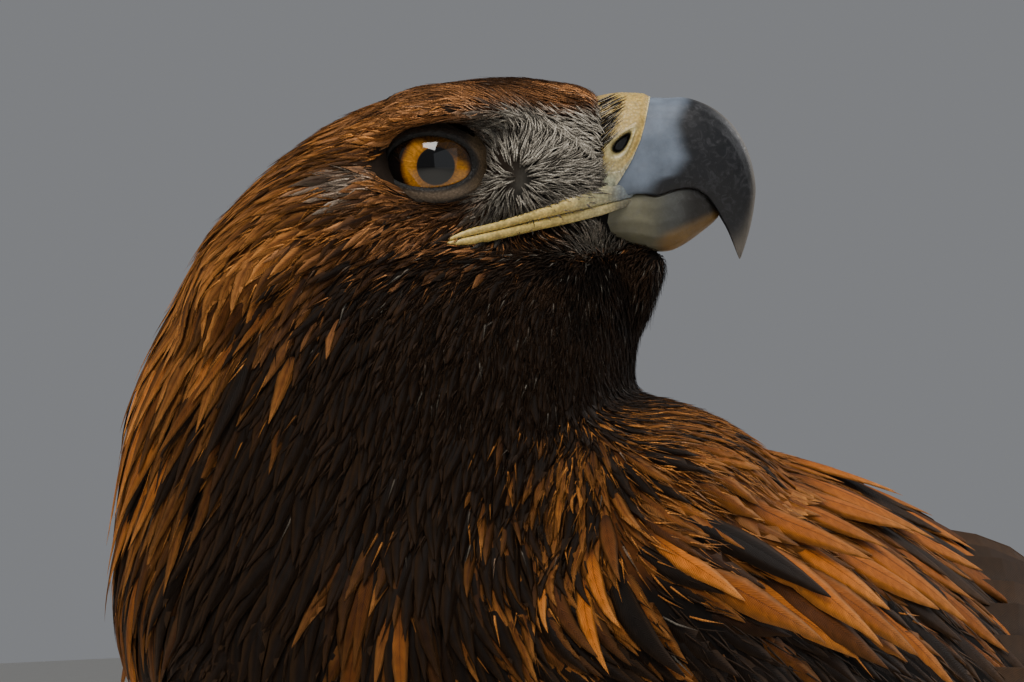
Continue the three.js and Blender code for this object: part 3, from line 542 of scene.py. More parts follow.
def streakTree(axis):
    # seeds in the head's directions, drawn together along the lie so that each one marks a long streak
    squeeze = np.where(np.arange(3) == axis, 1 / streakLook["long"], 1)
    low, high = vec(*streakLook["low"]) * squeeze, vec(*streakLook["high"]) * squeeze
    count = int(np.prod(high - low) / streakLook["across"] ** 3)
    return balanced(low + (high - low) * random.random((count, 3))), squeeze, random.random(count)


streakTrees = [streakTree(0), streakTree(2)]  # back over the head, and down the neck


def streakAt(spots):
    u, side, w = headPlace(spots)
    shares = [shade[[tree.find(spot)[1] for spot in np.stack([u, side, w], 1) * squeeze]]
              for tree, squeeze, shade in streakTrees]
    return np.where(w > -34, *shares)


# Feathers
palette = paints(
    gold="7a4519", goldPale="b4783c", shawlGold="9c5415", dark="120d0a", darkPale="2b1d12", shaft="170c06",
    crown="3a2113", crownPale="96663f", grey="1b1917", greyPale="918b80", under="0e0906", shank="2e1f13",
    coverts="1c120b", covertsPale="54391f", aroundEye="2b221b")


def scatter(tries, wanted, spacing):
    # random roots on the skin, kept apart by the spacing that a place asks for
    skin.data.calc_loop_triangles()
    triangles = points(skin)[fetch(skin.data.loop_triangles, "vertices", 3, np.int32)]
    area = np.linalg.norm(np.cross(triangles[:, 1] - triangles[:, 0], triangles[:, 2] - triangles[:, 0]), axis=1)
    middle = triangles.mean(1)
    chance = area * wanted(middle) / spacing(middle) ** 2
    picked = random.choice(len(area), tries, p=chance / chance.sum())
    a, b = random.random((2, tries, 1))
    a, b = np.where(a + b > 1, 1 - a, a), np.where(a + b > 1, 1 - b, b)
    t = triangles[picked]
    spots = t[:, 0] + a * (t[:, 1] - t[:, 0]) + b * (t[:, 2] - t[:, 0])
    gaps = spacing(spots)
    near = balanced(spots)
    free = np.ones(tries, bool)
    kept = []
    for i in range(tries):
        if free[i]:
            kept.append(i)
            free[[other for _, other, _ in near.find_range(spots[i], gaps[i])]] = False
    return spots[kept]


# One vane's outline: half its width along it, as shares, for each way that a feather is made
def outline(t, pointed, root=0.35):
    rise = root + (1 - root) * smooth(t / 0.42)
    tipward = np.clip((t - 0.45) / 0.55, 0, 1)
    blunt = np.sqrt(1 - 0.985 * tipward ** 2)
    sharp = 1 - 0.97 * tipward ** 1.25
    return rise * mix(blunt[..., None], sharp[..., None], pointed)[..., 0]


def layPaths(roots, lengths, stops, lift, wander, sink):
    # carries each feather's midline over the skin, rising from under the neighbours to its tip
    spots, normals, _ = onSkin(roots)
    paths, ups = [], []
    for k, t in enumerate(stops):
        way = lie(spots, normals)
        way = unit(way + np.cross(normals, way) * wander[:, None])
        if k:
            spots, normals, _ = onSkin(spots + way * (lengths * (t - stops[k - 1]))[:, None])
        height = -sink * (1 - smooth(t / 0.2)) + lift * t
        paths.append(spots + normals * height[:, None])
        ups.append(normals)
    return np.stack(paths, 1), np.stack(ups, 1)


# Feathers that lie on the skin rise by their kind's lift, and less on the crown and on the back
liftLook = dict(uneven=0.35, crown=0.5, back=0.75)


def liftAt(kind, roots, lengths):
    look = liftLook
    lift = kind["lift"] * lengths * (1 + look["uneven"] * random.normal(size=len(roots)))
    u, _, w = headPlace(roots)
    lift = lift * (1 + kind.get("bristle", 0) * smooth((40 - fromBill(roots)) / 15) * smooth((15 - w) / 5))
    lift = lift * (1 - look["crown"] * smooth((w - 14) / 3))
    lift = lift * (1 + kind.get("shoulder", 0) * onShoulder(u, w))
    return lift * (1 - look["back"] * smooth((u - 72) / 36))


def growVanes(name, kind, roots, lengths, widths, pointed, paint, paths=None):
    # each feather is a closed strip: its top runs over the columns, and one line closes it below
    stops, columns = vec(*kind["stops"]), vec(*kind["columns"])
    count = len(roots)
    if paths is None:
        wander = kind["wander"] * random.normal(size=count)
        paths = layPaths(roots, lengths, stops, liftAt(kind, roots, lengths), wander, kind["sink"] * mm)
    path, up = paths
    tangent = unit(np.gradient(path, axis=1))
    across = unit(np.cross(up, tangent))
    half = widths.reshape(count, -1) / 2 * outline(stops[None], pointed[:, None], kind.get("root", 0.35))
    edge = columns ** 2
    noise = random.normal(size=(count, len(stops), len(columns)))
    fray = 1 + kind["ragged"] * noise * edge * smooth((stops - 0.25) / 0.5)[:, None]
    out = columns * half[..., None] * fray
    sweep = kind["sweep"] * half[..., None] * edge * smooth((stops - 0.1) / 0.5)[:, None]
    camber = -kind["camber"] * half[..., None] * edge + kind.get("tilt", 0) * out
    top = (path[:, :, None] + across[:, :, None] * out[..., None] + tangent[:, :, None] * sweep[..., None]
           + up[:, :, None] * camber[..., None])
    low = path - up * (kind["thick"] * mm * (1 - 0.8 * stops))[None, :, None]
    spots = np.concatenate([top, low[:, :, None]], 2)
    sides = len(columns) + 1
    ring = np.arange(sides)
    first = (np.arange(count * len(stops)) * sides).reshape(count, len(stops))
    a, b = first[:, :-1, None] + ring, first[:, :-1, None] + (ring + 1) % sides
    quads = np.stack([a, a + sides, b + sides, b], -1).reshape(-1, 4)
    caps = np.concatenate([first[:, :1] + ring, first[:, -1:] + ring[::-1]])  # at the roots and the tips
    mesh = bpy.data.meshes.new(name)
    mesh.vertices.add(spots.size // 3)
    mesh.vertices.foreach_set("co", spots.ravel())
    corners = np.concatenate([quads.ravel(), caps.ravel()])
    mesh.loops.add(len(corners))
    mesh.loops.foreach_set("vertex_index", corners)
    starts = np.concatenate([np.arange(len(quads)) * 4, quads.size + np.arange(len(caps)) * sides])
    mesh.polygons.add(len(starts))
    mesh.polygons.foreach_set("loop_start", starts)
    mesh.update(calc_edges=True)
    mesh.validate()
    piece = bpy.data.objects.new(name, mesh)
    bpy.context.collection.objects.link(piece)
    mesh.polygons.foreach_set("use_smooth", np.ones(len(mesh.polygons), bool))
    side = np.concatenate([out, np.zeros_like(out[..., :1])], 2)
    along = np.broadcast_to((stops[None, :] * lengths[:, None])[..., None], side.shape)
    vane = np.stack([side, along], -1) / (10 * mm)
    share = np.stack(np.broadcast_arrays(np.append(columns, 0), stops[:, None]), -1)
    patch = patches[onSkin(roots)[2]][:, None, None] + patchSize * (share * vec(1, 2) - vec(0, 1))
    for label, places in (("OFBake", np.broadcast_to(patch, vane.shape)), ("Vane", vane)):
        layer = mesh.uv_layers.new(name=label)
        layer.data.foreach_set("uv", np.clip(places.reshape(-1, 2)[corners], -1e3, 1e3).ravel())
    colours = paint(np.append(columns, 0)[None, None, :, None], stops[None, :, None, None])
    paintVertices(piece, np.broadcast_to(colours, spots.shape))
    mesh.materials.append(featherFinish)
    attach(piece, "root")
    return piece


# Coat: sizes in mm for small feathers of the head up to the long ones of the body, by distance from the bill
coatLook = dict(
    reach=[0, 25, 55, 85, 115, 150, 210, 400],
    length=[4.5, 7, 11, 17, 28, 39, 48, 58],
    slim=[0.25, 0.22, 0.2, 0.18, 0.155, 0.14, 0.28, 0.42],
    spacing=[1.5, 1.7, 1.75, 2.1, 2.6, 3.1, 6.2, 10],
    shoulder=(27, 0.2, 4.4), thigh=(33, 0.2, 5), shank=(13, 3.6))
shortKind = dict(stops=[0, 0.3, 0.6, 0.82, 1], columns=[-1, 0, 1], wander=0.15, lift=0.06, sink=0.8, ragged=0.25,
                 sweep=0.6, camber=0.25, thick=0.1)
longKind = dict(stops=[0, 0.25, 0.42, 0.55, 0.66, 0.75, 0.83, 0.9, 0.96, 1], columns=[-1, 0, 1], wander=0.13,
                lift=0.05, shoulder=-0.5, sink=1.6, ragged=0.1, sweep=0.5, camber=0.14, thick=0.15)

# Loose barbs over the feathers, hair-thin: the bristles of the lores, and the soft edge of the rest
barbLook = dict(
    reach=[0, 30, 50, 70, 90, 120, 170, 260],
    length=[4, 5.5, 6.5, 7.5, 9, 12, 15, 17],
    width=[0.42, 0.42, 0.42, 0.45, 0.5, 0.6, 0.7, 0.8],
    spacing=[0.5, 0.52, 0.62, 0.85, 1.5, 2.6, 4.2, 9])
barbKind = dict(stops=[0, 0.5, 1], columns=[-1, 1], wander=0.24, lift=0.1, sink=0.3, ragged=0, sweep=0,
                camber=0, thick=0.12, root=0.8, bristle=1.4)

# Where no feather is rooted
bareLook = dict(eye=dict(u=-0.4, w=-0.4, before=13.4, behind=12, tall=9.4), bill=44.5, chin=-13, floor=0.022,
                gape=([3, 27, 42], [1.3, 2, 2.9]), middle=10)


def fromBill(spots):  # distance from the bill, longer down the breast and over the back
    u, side, w = headPlace(spots)
    y = (spots - shift)[:, 1] / mm
    return np.sqrt((u - 50) ** 2 + (w + 6) ** 2 + 0.3 * side ** 2) + 0.4 * np.clip(y + 60, 0, None)


def byReach(look, spots, *parts):
    reach = fromBill(spots)
    return [np.interp(reach, look["reach"], look[part]) for part in parts]


def towards(sizes, others, share):
    return [own + (there - own) * share for own, there in zip(sizes, others)]


def sizesAt(spots):
    sizes = byReach(coatLook, spots, "length", "slim", "spacing")
    u, _, w = headPlace(spots)
    x, _, z = (spots / mm).T
    sizes = towards(sizes, coatLook["shoulder"], onShoulder(u, w) * (1 - smooth((fromBill(spots) - 190) / 30)))
    length, slim, spacing = towards(sizes, coatLook["thigh"], smooth((300 - z) / 30) * smooth((np.abs(x) - 25) / 15))
    shank = smooth((150 - z) / 30)
    length = length * (1 - shank) + coatLook["shank"][0] * shank
    spacing = spacing * (1 - shank) + coatLook["shank"][1] * shank
    return length * mm, slim, spacing * mm


def wingPlace(spots):  # y along the body, and degrees below the folded wing's top edge and above its low one
    x, y, z = ((spots - shift) / mm).T
    mid, up, half = through(wingForm, y, "mid up half")
    top, low = through(wingRims, y, "top low")
    angle = np.degrees(np.arctan2(np.abs(x) / half, (z - mid) / up))
    return y, angle - top, low - angle


def underQuills(spots):  # where the wing's own rows of feathers lie
    y, below, above = wingPlace(spots)
    return (y > 4) & (below > 8) & (above > 3)


def onScapulars(spots):  # the shoulder's long feathers, which lie over the roots of the wing's rows
    y, below, _ = wingPlace(spots)
    return (y > -46) & (y < 122) & (below > -12) & (below < 33 - 0.12 * y)


def bare(spots):  # eyes, lips, bill, soles, and what the wings hide
    look, eye = bareLook, bareLook["eye"]
    u, side, w = headPlace(spots)
    long = np.where(u < 0, eye["behind"], eye["before"])
    atEye = ((u - eye["u"]) / long) ** 2 + ((w - eye["w"]) / eye["tall"]) ** 2 < 1
    atLips = (u > look["gape"][0][0]) & (np.abs(w - onLine(u, gapeLine) - 0.5) < np.interp(u, *look["gape"]))
    atBill = (u > look["bill"] - 0.22 * np.abs(w - 6)) & (w > np.minimum(onLine(u, chinLine), look["chin"]))
    atSoles = spots[:, 2] < look["floor"]
    return ((atEye | atLips) & (np.abs(side) > look["middle"])) | atBill | atSoles | underQuills(spots)


def paintRule(roots, contrast=0.4, depth=0.0, golden=1.0, hoary=0.0):
    # a feather's colours: dark base and shaft, its own shade, and a paler rim and tip
    chance = np.clip(random.normal(size=len(roots)), -2, 2)
    gold, crown, grey = markings(roots, chance)
    gold = gold * golden
    w = headPlace(roots)[2]
    reach = np.hypot(*((roots - neckAxis)[:, :2].T)) / mm
    bright = smooth((reach - 55) / 30) * smooth((-w - 50) / 20)
    streak = streakAt(roots)
    lively = (1 - contrast / 2 + contrast * random.random(len(roots)))[:, None]
    lively = lively * (1 + (1.5 * streak - 0.78) * np.maximum(gold, crown) * (1 - 0.72 * bright))[:, None]
    lively = lively * (1 - depth * gold * smooth((-w - 25) / 20))[:, None]
    goldFace = mix(palette["gold"], palette["shawlGold"], bright)
    face = mix(palette["dark"], goldFace, gold)
    pale = mix(palette["darkPale"], palette["goldPale"], gold)
    onCrown = crown * gold
    face = mix(face, palette["crown"], onCrown)
    pale = mix(pale, palette["crownPale"], onCrown)
    streaked = 0.9 * smooth((streak - 0.6) / 0.3)
    face = mix(face, palette["crownPale"], streaked * onCrown)
    peppered = (random.random(len(roots)) < 0.45) * (0.4 + 0.6 * random.random(len(roots)))
    face = mix(face, mix(palette["grey"], palette["greyPale"], peppered), grey)
    pale = mix(pale, palette["greyPale"], grey)
    onBack = smooth(((roots - shift)[:, 1] / mm + 70) / 50) * smooth((roots[:, 2] / mm - 290) / 40) * (1 - gold)
    face = mix(face, palette["coverts"], onBack)
    pale = mix(pale, palette["covertsPale"], 0.7 * onBack)
    shank = smooth((175 - roots[:, 2] / mm) / 60)
    face = mix(face, palette["shank"], shank) * lively
    pale = mix(pale, palette["crownPale"], 0.7 * shank) * lively
    white = (0.12 + 0.4 * random.random(len(roots))) * (random.random(len(roots)) < hoary)
    face, pale = (mix(part, palette["greyPale"], white)[:, None, None] for part in (face, pale))
    gold = gold[:, None, None, None]

    def paint(e, t):
        rim = smooth((np.abs(e) - 0.35) / 0.6) * 0.6 + 0.5 * smooth((t - 0.6) / 0.4)
        colour = face + (pale - face) * np.clip(rim, 0, 1)
        colour = palette["under"] + (colour - palette["under"]) * smooth((t - 0.05) / 0.4)
        quill = (np.abs(e) < 0.05) * (0.75 * gold + 0.15) * (1 - 0.5 * t)
        return colour + (palette["shaft"] - colour) * quill
    return paint


def paintSkin():  # dark as the feathers' bases, and paler in the middle of the whorl
    spots = points(skin)
    u, _, w = headPlace(spots)
    gold, _, grey = markings(spots)
    shade = mix(palette["dark"], palette["gold"] * 0.45, gold)
    shade = mix(shade, palette["grey"] * 0.6, grey)
    shade = mix(palette["greyPale"] * 0.4, shade, smooth((fromMiddle(u, w, loreWhorl) - 1.5) / 4))
    besideEye = fromMiddle(u, w, dict(u=eyeSpot["u"], w=0, long=20, tall=14))
    paintVertices(skin, mix(palette["aroundEye"], shade, smooth((besideEye - 0.9) / 0.3)))


paintSkin()
only(skin)
bpy.ops.object.mode_set(mode="EDIT")
bpy.ops.mesh.select_all(action="SELECT")
bpy.ops.uv.smart_project(angle_limit=math.radians(66), island_margin=0.002)
bpy.ops.object.mode_set(mode="OBJECT")
skin.data.uv_layers[0].name = "OFBake"
print("skin unwrapped")
featherFinish = vaneMaterial()
patchSize = 0.0015  # of the skin's unwrap, for one feather
patches = fetch(skin.data.uv_layers["OFBake"].data, "uv", 2)[fetch(skin.data.polygons, "loop_start", 1, np.int32)]


def coat(name, tries, wanted, kind, pieceSize, sizes, contrast, depth=0.0, golden=1.0, hoary=0.0):
    roots = scatter(tries, wanted, lambda spots: sizes(spots)[2])
    order = np.argsort(fromBill(roots))
    triangles = 0
    for i in range(0, len(order), pieceSize):
        some = roots[order[i:i + pieceSize]]
        lengths, slim, _ = sizes(some)
        lengths = lengths * (1 + 0.12 * random.normal(size=len(some)))
        broad = smooth((fromBill(some) - 190) / 70)
        pointed = np.clip(0.92 - 0.45 * broad + 0.08 * random.normal(size=len(some)), 0, 1)
        piece = growVanes(f"{name}{i // pieceSize + 1}", kind, some, lengths, lengths * slim, pointed,
                          paintRule(some, contrast, depth, golden, hoary))
        "hackle_gold" if markings(some)[0].mean() * golden > 0.5 else "feather_brown"
        triangles += len(piece.data.loops) - 2 * len(piece.data.polygons)
    print(name, len(roots), "feathers,", triangles, "triangles")


def barbSizes(spots):
    length, width, spacing = byReach(barbLook, spots, "length", "width", "spacing")
    return length * mm, width / length, spacing * mm


# Hackles and shawl: long pointed feathers that lie over the rest of the neck, with dark between them
hackleKind = dict(stops=[0, 0.14, 0.28, 0.42, 0.55, 0.67, 0.78, 0.87, 0.94, 1],
                  columns=[-1, -0.5, -0.08, 0, 0.08, 0.5, 1], wander=0.1, lift=0.07, shoulder=0.4, sink=1.2,
                  ragged=0.05, sweep=0.5, camber=0.26, thick=0.15)
hackleLook = dict(reach=[75, 110, 150, 200], length=[20, 34, 42, 44], width=[3.4, 4.4, 5.2, 6.5],
                  spacing=[4.6, 6.4, 7.6, 9], shoulder=(43, 9.2, 9.6))
scapularKind = dict(hackleKind, wander=0.06, lift=0.02, sink=1, camber=0.3)
scapularLook = dict(length=56, slim=0.28, spacing=10.5)


def hackleSizes(spots):
    u, _, w = headPlace(spots)
    sizes = byReach(hackleLook, spots, "length", "width", "spacing")
    length, width, spacing = towards(sizes, hackleLook["shoulder"], onShoulder(u, w))
    return length * mm, width / length, spacing * mm


def scapularSizes(spots):
    look, even = scapularLook, np.ones(len(spots))
    return look["length"] * mm * even, look["slim"] * even, look["spacing"] * mm * even


def inHackles(spots):
    gold = markings(spots)[0]
    return (gold > 0.55) & (fromBill(spots) > 78) & (headPlace(spots)[2] < -22) & ~bare(spots)


coat("faceFeathers", 60000, lambda spots: (fromBill(spots) > 34) & (fromBill(spots) < 80) & ~bare(spots),
     shortKind, 5000, sizesAt, 0.4)
coat("bodyFeathers", 160000, lambda spots: (fromBill(spots) >= 80) & ~bare(spots), longKind, 2300, sizesAt, 0.4, 0.35)
coat("hackles", 16000, inHackles, hackleKind, 1500, hackleSizes, 0.5)
coat("scapulars", 3000, onScapulars, scapularKind, 1500, scapularSizes, 0.6, golden=0.0)
coat("looseBarbs", 200000, lambda spots: (fromBill(spots) < 260) & ~bare(spots), barbKind, 13000, barbSizes, 0.9,
     hoary=0.03)


def painted(colours, base, **layers):  # lays a piece's colours over its base one, each by its share
    colour = colours[base]
    for name, share in layers.items():
        colour = mix(colour, colours[name], share)
    return colour


def skinOut(u, w, hand, missing):  # how far out the skin is, seen from a side
    hits = [skinTree.ray_cast(Vector(spot), Vector(-hand * sideWay))[0] for spot in inHead(u, hand * 60, w)]
    return np.array([hand * headPlace(np.array([hit]))[1][0] if hit else missing for hit in hits])


# Eyes: a wet ball with a raised clear front over an amber iris, whose top and front carry a painted shadow of the brow
eyeLook = dict(iris=8.8, pupil=4.7, bulge=1.2, rim=1.4, forward=0.5, down=3, whole=11, pupilEdge=0.012,
               paintedShadowFrom=(0.45, 0.9, 0))
irisColours = dict(ring="1c0e05", outer="643c0c", amber="a36b18", inner="835411", black="030202", white="0e0b0a")


def irisMaterial():
    look = eyeLook
    material, tree, sockets = newMaterial(
        "wetCornea", **{"Roughness": 0.06, "IOR": 1.38, "Coat Weight": 0.3, "Coat Roughness": 0.02})
    disc = addNode(tree, "UVMap", dict(uv_map="Iris"))  # centimetres from the pupil's middle
    reach = addNode(tree, "VectorMath", dict(operation="LENGTH"), links={0: disc}, out="Value")
    way = addNode(tree, "VectorMath", dict(operation="NORMALIZE"), links={0: disc})
    fibres = addNode(tree, "TexNoise", None, {"Scale": 14, "Detail": 4, "Roughness": 0.7}, {"Vector": way}, "Fac")
    flecks = addNode(tree, "TexNoise", None, {"Scale": 16, "Detail": 3}, {"Vector": disc}, "Fac")
    outwards = addNode(tree, "MapRange", None, {"From Max": look["whole"] / 10}, {"Value": reach})
    ramp = addNode(tree, "ValToRGB", links={0: outwards})
    pupil = look["pupil"] / look["whole"]
    stops = [(0, "black"), (pupil - look["pupilEdge"], "black"), (pupil + look["pupilEdge"], "inner"),
             (0.56, "amber"), (0.68, "amber"), (0.755, "outer"), (0.8, "ring"), (0.83, "white")]
    bands = ramp.node.color_ramp.elements
    for place, colour in stops[:-2]:
        bands.new(place)
    for band, (place, colour) in zip(bands, stops):
        band.position = place
        band.color = (*linear(irisColours[colour]), 1)
    streaks = addNode(tree, "MapRange", None, fromTo(0.3, 0.7, 0.55, 1.35), {"Value": fibres})
    spots = addNode(tree, "MapRange", None, fromTo(0.35, 0.65, 0.75, 1.15), {"Value": flecks})
    # painted shadow: the brow's shade is painted into the iris, darkening it towards its top and front
    ahead = addNode(tree, "VectorMath", dict(operation="DOT_PRODUCT"), {1: look["paintedShadowFrom"]}, {0: disc}, "Value")
    paintedBrowShadow = addNode(tree, "MapRange", None, fromTo(0.24, 0.46, 1, 0.1), {"Value": ahead})
    shade = addNode(tree, "Math", dict(operation="MULTIPLY"), links={0: streaks, 1: spots})
    shade = addNode(tree, "Math", dict(operation="MULTIPLY"), links={0: shade, 1: paintedBrowShadow})
    addNode(tree, "VectorMath", dict(operation="SCALE"), links={0: ramp, "Scale": shade}, to=sockets["Base Color"])
    return material


def corneaRise(reach):  # how far the eye's front stands off the ball, by distance from the pupil
    return eyeLook["bulge"] * (1 - smooth(reach / (eyeLook["iris"] + eyeLook["rim"])))


def makeEye(node, hand):
    centre = middleOf(node)
    forward, down = (math.radians(eyeLook[part]) for part in ("forward", "down"))
    out = unit(hand * sideWay + billWay * math.tan(forward) - upWay * math.tan(down))
    ahead = unit(billWay - out * np.dot(billWay, out))
    high = unit(upWay - out * np.dot(upWay, out) - ahead * np.dot(upWay, ahead))

    def place(t, a):
        turn = t * math.pi
        across = eyeSpot["ball"] * np.sin(turn)
        rise = eyeSpot["ball"] * np.cos(turn) + np.where(turn < 1.2, corneaRise(across), 0)
        return centre + mm * ((across * np.cos(a))[:, None] * ahead + (across * np.sin(a))[:, None] * high
                              + rise[:, None] * out)
    eye = form(node + "Ball", place, 64, 48)
    away = (points(eye) - centre) / mm
    disc = np.stack([away @ ahead, away @ high], 1)
    disc = np.where((away @ out)[:, None] < 0, disc + unit(disc + 1e-6) * 30, disc) / 10  # the back is beyond the iris
    layer = eye.data.uv_layers.new(name="Iris")
    layer.data.foreach_set("uv", disc[fetch(eye.data.loops, "vertex_index", 1, np.int32)].ravel())
    finishPiece(eye, irisFinish, [node])


irisFinish = irisMaterial()
makeEye("eye_right", 1)
makeEye("eye_left", -1)
print("eyes")


# Lids: a ring of bare, finely scaled skin round each eye
lidLook = dict(u=-0.4, w=-0.9, long=11.6, high=7.9, low=6.2, reach=[-0.8, 0, 0.4, 0.9, 1.4, 1.9, 2.4, 3, 3.7, 4.6],
               rise=[-0.7, 0.5, 0.85, 0.85, 0.6, 0.55, 0.55, 0.5, 0.3, -0.9], scale=0.7)
lidPaint = paints(edge="0d0a08", lid="2a231d", low="80705f", front="5f4b30")


def softSkinMaterial(name, scale, bumpSize, roughness, **more):  # scale and bumpSize in mm
    material, tree, sockets = newMaterial(name, **{"Roughness": roughness, **more})
    tint = addNode(tree, "Attribute", dict(attribute_name="Tint"), out="Color")
    place = addNode(tree, "TexCoord", out="Object")
    cells = addNode(tree, "TexVoronoi", dict(feature="F1"), {"Scale": 1 / (scale * mm), "Randomness": 0.9},
                    {"Vector": place}, "Distance")
    stain = addNode(tree, "TexNoise", None, {"Scale": 0.3 / (scale * mm), "Detail": 4}, {"Vector": place}, "Fac")
    creases = addNode(tree, "MapRange", None, fromTo(0, 0.8, 1.12, 0.62), {"Value": cells})
    stains = addNode(tree, "MapRange", None, fromTo(0.3, 0.7, 0.8, 1.15), {"Value": stain})
    shade = addNode(tree, "Math", dict(operation="MULTIPLY"), links={0: creases, 1: stains})
    addNode(tree, "VectorMath", dict(operation="SCALE"), links={0: tint, "Scale": shade}, to=sockets["Base Color"])
    addNode(tree, "Bump", dict(invert=True), {"Strength": 0.6, "Distance": bumpSize * mm}, {"Height": cells},
            to=sockets["Normal"])
    return material


def makeLids(name, hand):
    look = lidLook
    bpy.ops.mesh.primitive_torus_add(major_segments=96, minor_segments=20, major_radius=1, minor_radius=0.3)
    lids = bpy.context.object
    lids.name = name
    x, y, z = points(lids).T
    a = np.arctan2(y, x)
    b = np.arctan2(z, np.hypot(x, y) - 1) % (2 * math.pi)
    share = 1 - (1 - np.cos(b)) / 2  # 1 at the outside of the ring, 0 at the eye
    keys = np.linspace(0, 1, len(look["reach"]))
    reach = np.interp(share, keys, look["reach"])
    rise = np.interp(share, keys, look["rise"]) - np.where(np.sin(b) < -1e-4, 1.2, 0)
    corner = np.abs(np.cos(a)) ** 14
    du = (look["long"] + reach * (1 + 0.5 * corner)) * np.cos(a)
    dw = (np.where(np.sin(a) > 0, look["high"], look["low"]) + reach) * np.sin(a) * (1 - 0.1 * corner)
    u, w = look["u"] + du, look["w"] + dw
    ball = (eyeSpot["ball"] + 0.25) ** 2 - (u - eyeSpot["u"]) ** 2 - (w - eyeSpot["w"]) ** 2
    clear = corneaRise(np.hypot(u - eyeSpot["u"], w - eyeSpot["w"] + 0.7))
    onBall = eyeSide + np.sqrt(np.clip(ball, 1, None)) + clear + 0.35
    side = onBall + (skinOut(u, w, hand, 26) - onBall) * smooth((reach - 1.6) / 3) + rise
    movePoints(lids, inHead(u, hand * side, w))
    turnOutwards(lids)
    u, side, w = headPlace(points(lids))
    tall = np.where(w > look["w"], look["high"], look["low"])
    ring = np.hypot((u - look["u"]) / look["long"], (w - look["w"]) / tall)
    low = smooth((eyeSpot["w"] - w) / 8) * smooth((ring - 1.02) / 0.12) * (1 - smooth((ring - 1.3) / 0.15))
    front = 0.5 * smooth((u - 8) / 3) * smooth((ring - 1.02) / 0.1)
    paintVertices(lids, painted(lidPaint, "edge", lid=smooth((ring - 1.0) / 0.12), low=low, front=front))
    finishPiece(lids, lidFinish, None)


lidFinish = softSkinMaterial("scaledLidSkin", lidLook["scale"], 0.4, 0.6, **{"Specular IOR Level": 0.25})
makeLids("lidsRight", 1)
makeLids("lidsLeft", -1)
print("lids")


# Bill: horn grown in thin layers over bone, with a hook, a wavy cutting edge and a worn dark tip
hornForm = table(
    "at ridgeU ridgeW edgeU edgeW half",
    (0, 34, 15, 30, -12.7, 13), (1, 44, 16.9, 40, -10.3, 12.7), (2, 50, 17, 46, -8.9, 12.2),
    (3, 54.5, 16.9, 50, -7.6, 11.7), (4, 59, 16.8, 53.5, -7.5, 11.1), (5, 63, 16.9, 56, -8, 10.5),
    (6, 67.2, 15.7, 59, -7, 9.9), (7, 71.2, 13.6, 62, -6.2, 9.1), (8, 75, 10.2, 65, -6.1, 8.2),
    (9, 78, 5.6, 67.8, -7.4, 7.1), (10, 79.9, 0.6, 70, -9.8, 5.9), (11, 80.9, -5.3, 72, -12.8, 4.6),
    (12, 80.5, -10.6, 73.8, -16, 3.4), (13, 79.5, -15.8, 75.2, -19.3, 2.3), (14, 78.2, -20.3, 76.3, -22.2, 1.2),
    (15, 77.2, -23.2, 76.9, -23.6, 0.35))
jawForm = table(
    "at top low half",
    (28, -13.4, -19, 11.6), (45, -9.4, -19.5, 10.9), (52, -7.5, -21, 10.4), (55.5, -8.1, -21.6, 10),
    (60.3, -6.7, -21.2, 9), (64, -6.1, -19.2, 7.8), (67, -6.6, -17, 6.4), (70, -9.2, -14.6, 4.2),
    (71.8, -11.6, -13, 2))
jawArch = dict(turn=[0, 0.14, 0.24, 0.3, 0.4, 0.55, 0.7, 0.83, 0.93, 1],
               tall=[0.78, 0.84, 1, 1, 0.8, 0.5, 0.25, 0.08, 0.01, 0],
               out=[0, 0.5, 0.86, 0.95, 1, 0.97, 0.83, 0.55, 0.25, 0])
arch = dict(down=[0, 0.02, 0.08, 0.2, 0.4, 0.6, 0.8, 0.93, 1, 0.96, 0.84, 0.78, 0.76],
            side=[0, 0.24, 0.46, 0.7, 0.88, 0.96, 0.99, 0.975, 0.93, 0.8, 0.55, 0.28, 0],
            turn=[0, 0.06, 0.14, 0.25, 0.39, 0.52, 0.65, 0.74, 0.79, 0.83, 0.89, 0.95, 1])
cereLook = dict(
    back=0.6, lift=0.75, nostril=(47.3, 5.2), nostrilLong=3.7, nostrilWide=1.55, nostrilLean=50, nostrilDeep=3,
    edge=[(0, 3), (0.1, 2.98), (0.3, 2.95), (0.45, 2.85), (0.62, 2.55), (0.78, 2.1), (0.9, 1.75), (1, 1.6)],
    rim=[(-4, 45.4), (-1.3, 47), (2.1, 49.6), (6, 51.6), (8.6, 52.4), (12.8, 53.1), (17, 53.8)])
darkFrom = [(-8, 53.5), (-5.3, 54.5), (-3.8, 56), (-2.8, 60), (1.3, 63), (5.3, 61.5), (9.8, 60.3), (15.5, 63), (18, 64)]
hornPaint = paints(blue="5c6572", dark="0e0f13", ridge="857c70")
jawPaint = paints(base="5d5a48", middle="3b3c39", tip="1d1a17", rim="75592c")
# pit: near-black painted shade inside the nostril's hollow
cerePaint = paints(yellow="bd9f58", back="8a7340", nostril="a09a72", low="999b82", rim="e0d5ae", pit="0d0807")


def hornAt(s, a, out=0.0):  # a place on the horn: station s, and turn a from the ridge to either side
    turn = np.abs(a) / math.pi
    ridgeU, ridgeW, edgeU, edgeW, half = through(hornForm, s, "ridgeU ridgeW edgeU edgeW half")
    down, side = (np.interp(turn, arch["turn"], arch[part]) for part in ("down", "side"))
    tall = np.hypot(ridgeU - edgeU, ridgeW - edgeW)
    rise = out * (1 - 2 * np.clip(down * 1.4, 0, 1)) / tall * (down < 0.72)
    share = down - rise
    return ridgeU + (edgeU - ridgeU) * share, np.sign(a) * (side * (half + out)), ridgeW + (edgeW - ridgeW) * share


def drawnIn(s, spot, near):  # closes the ends of the horn and of the cere towards the bill's middle
    ridgeU, ridgeW, edgeU, edgeW = through(hornForm, s, "ridgeU ridgeW edgeU edgeW")
    u, side, w = spot
    middleU, middleW = (ridgeU + edgeU) / 2, (ridgeW + edgeW) / 2
    return inHead(middleU + (u - middleU) * near, side * near, middleW + (w - middleW) * near)


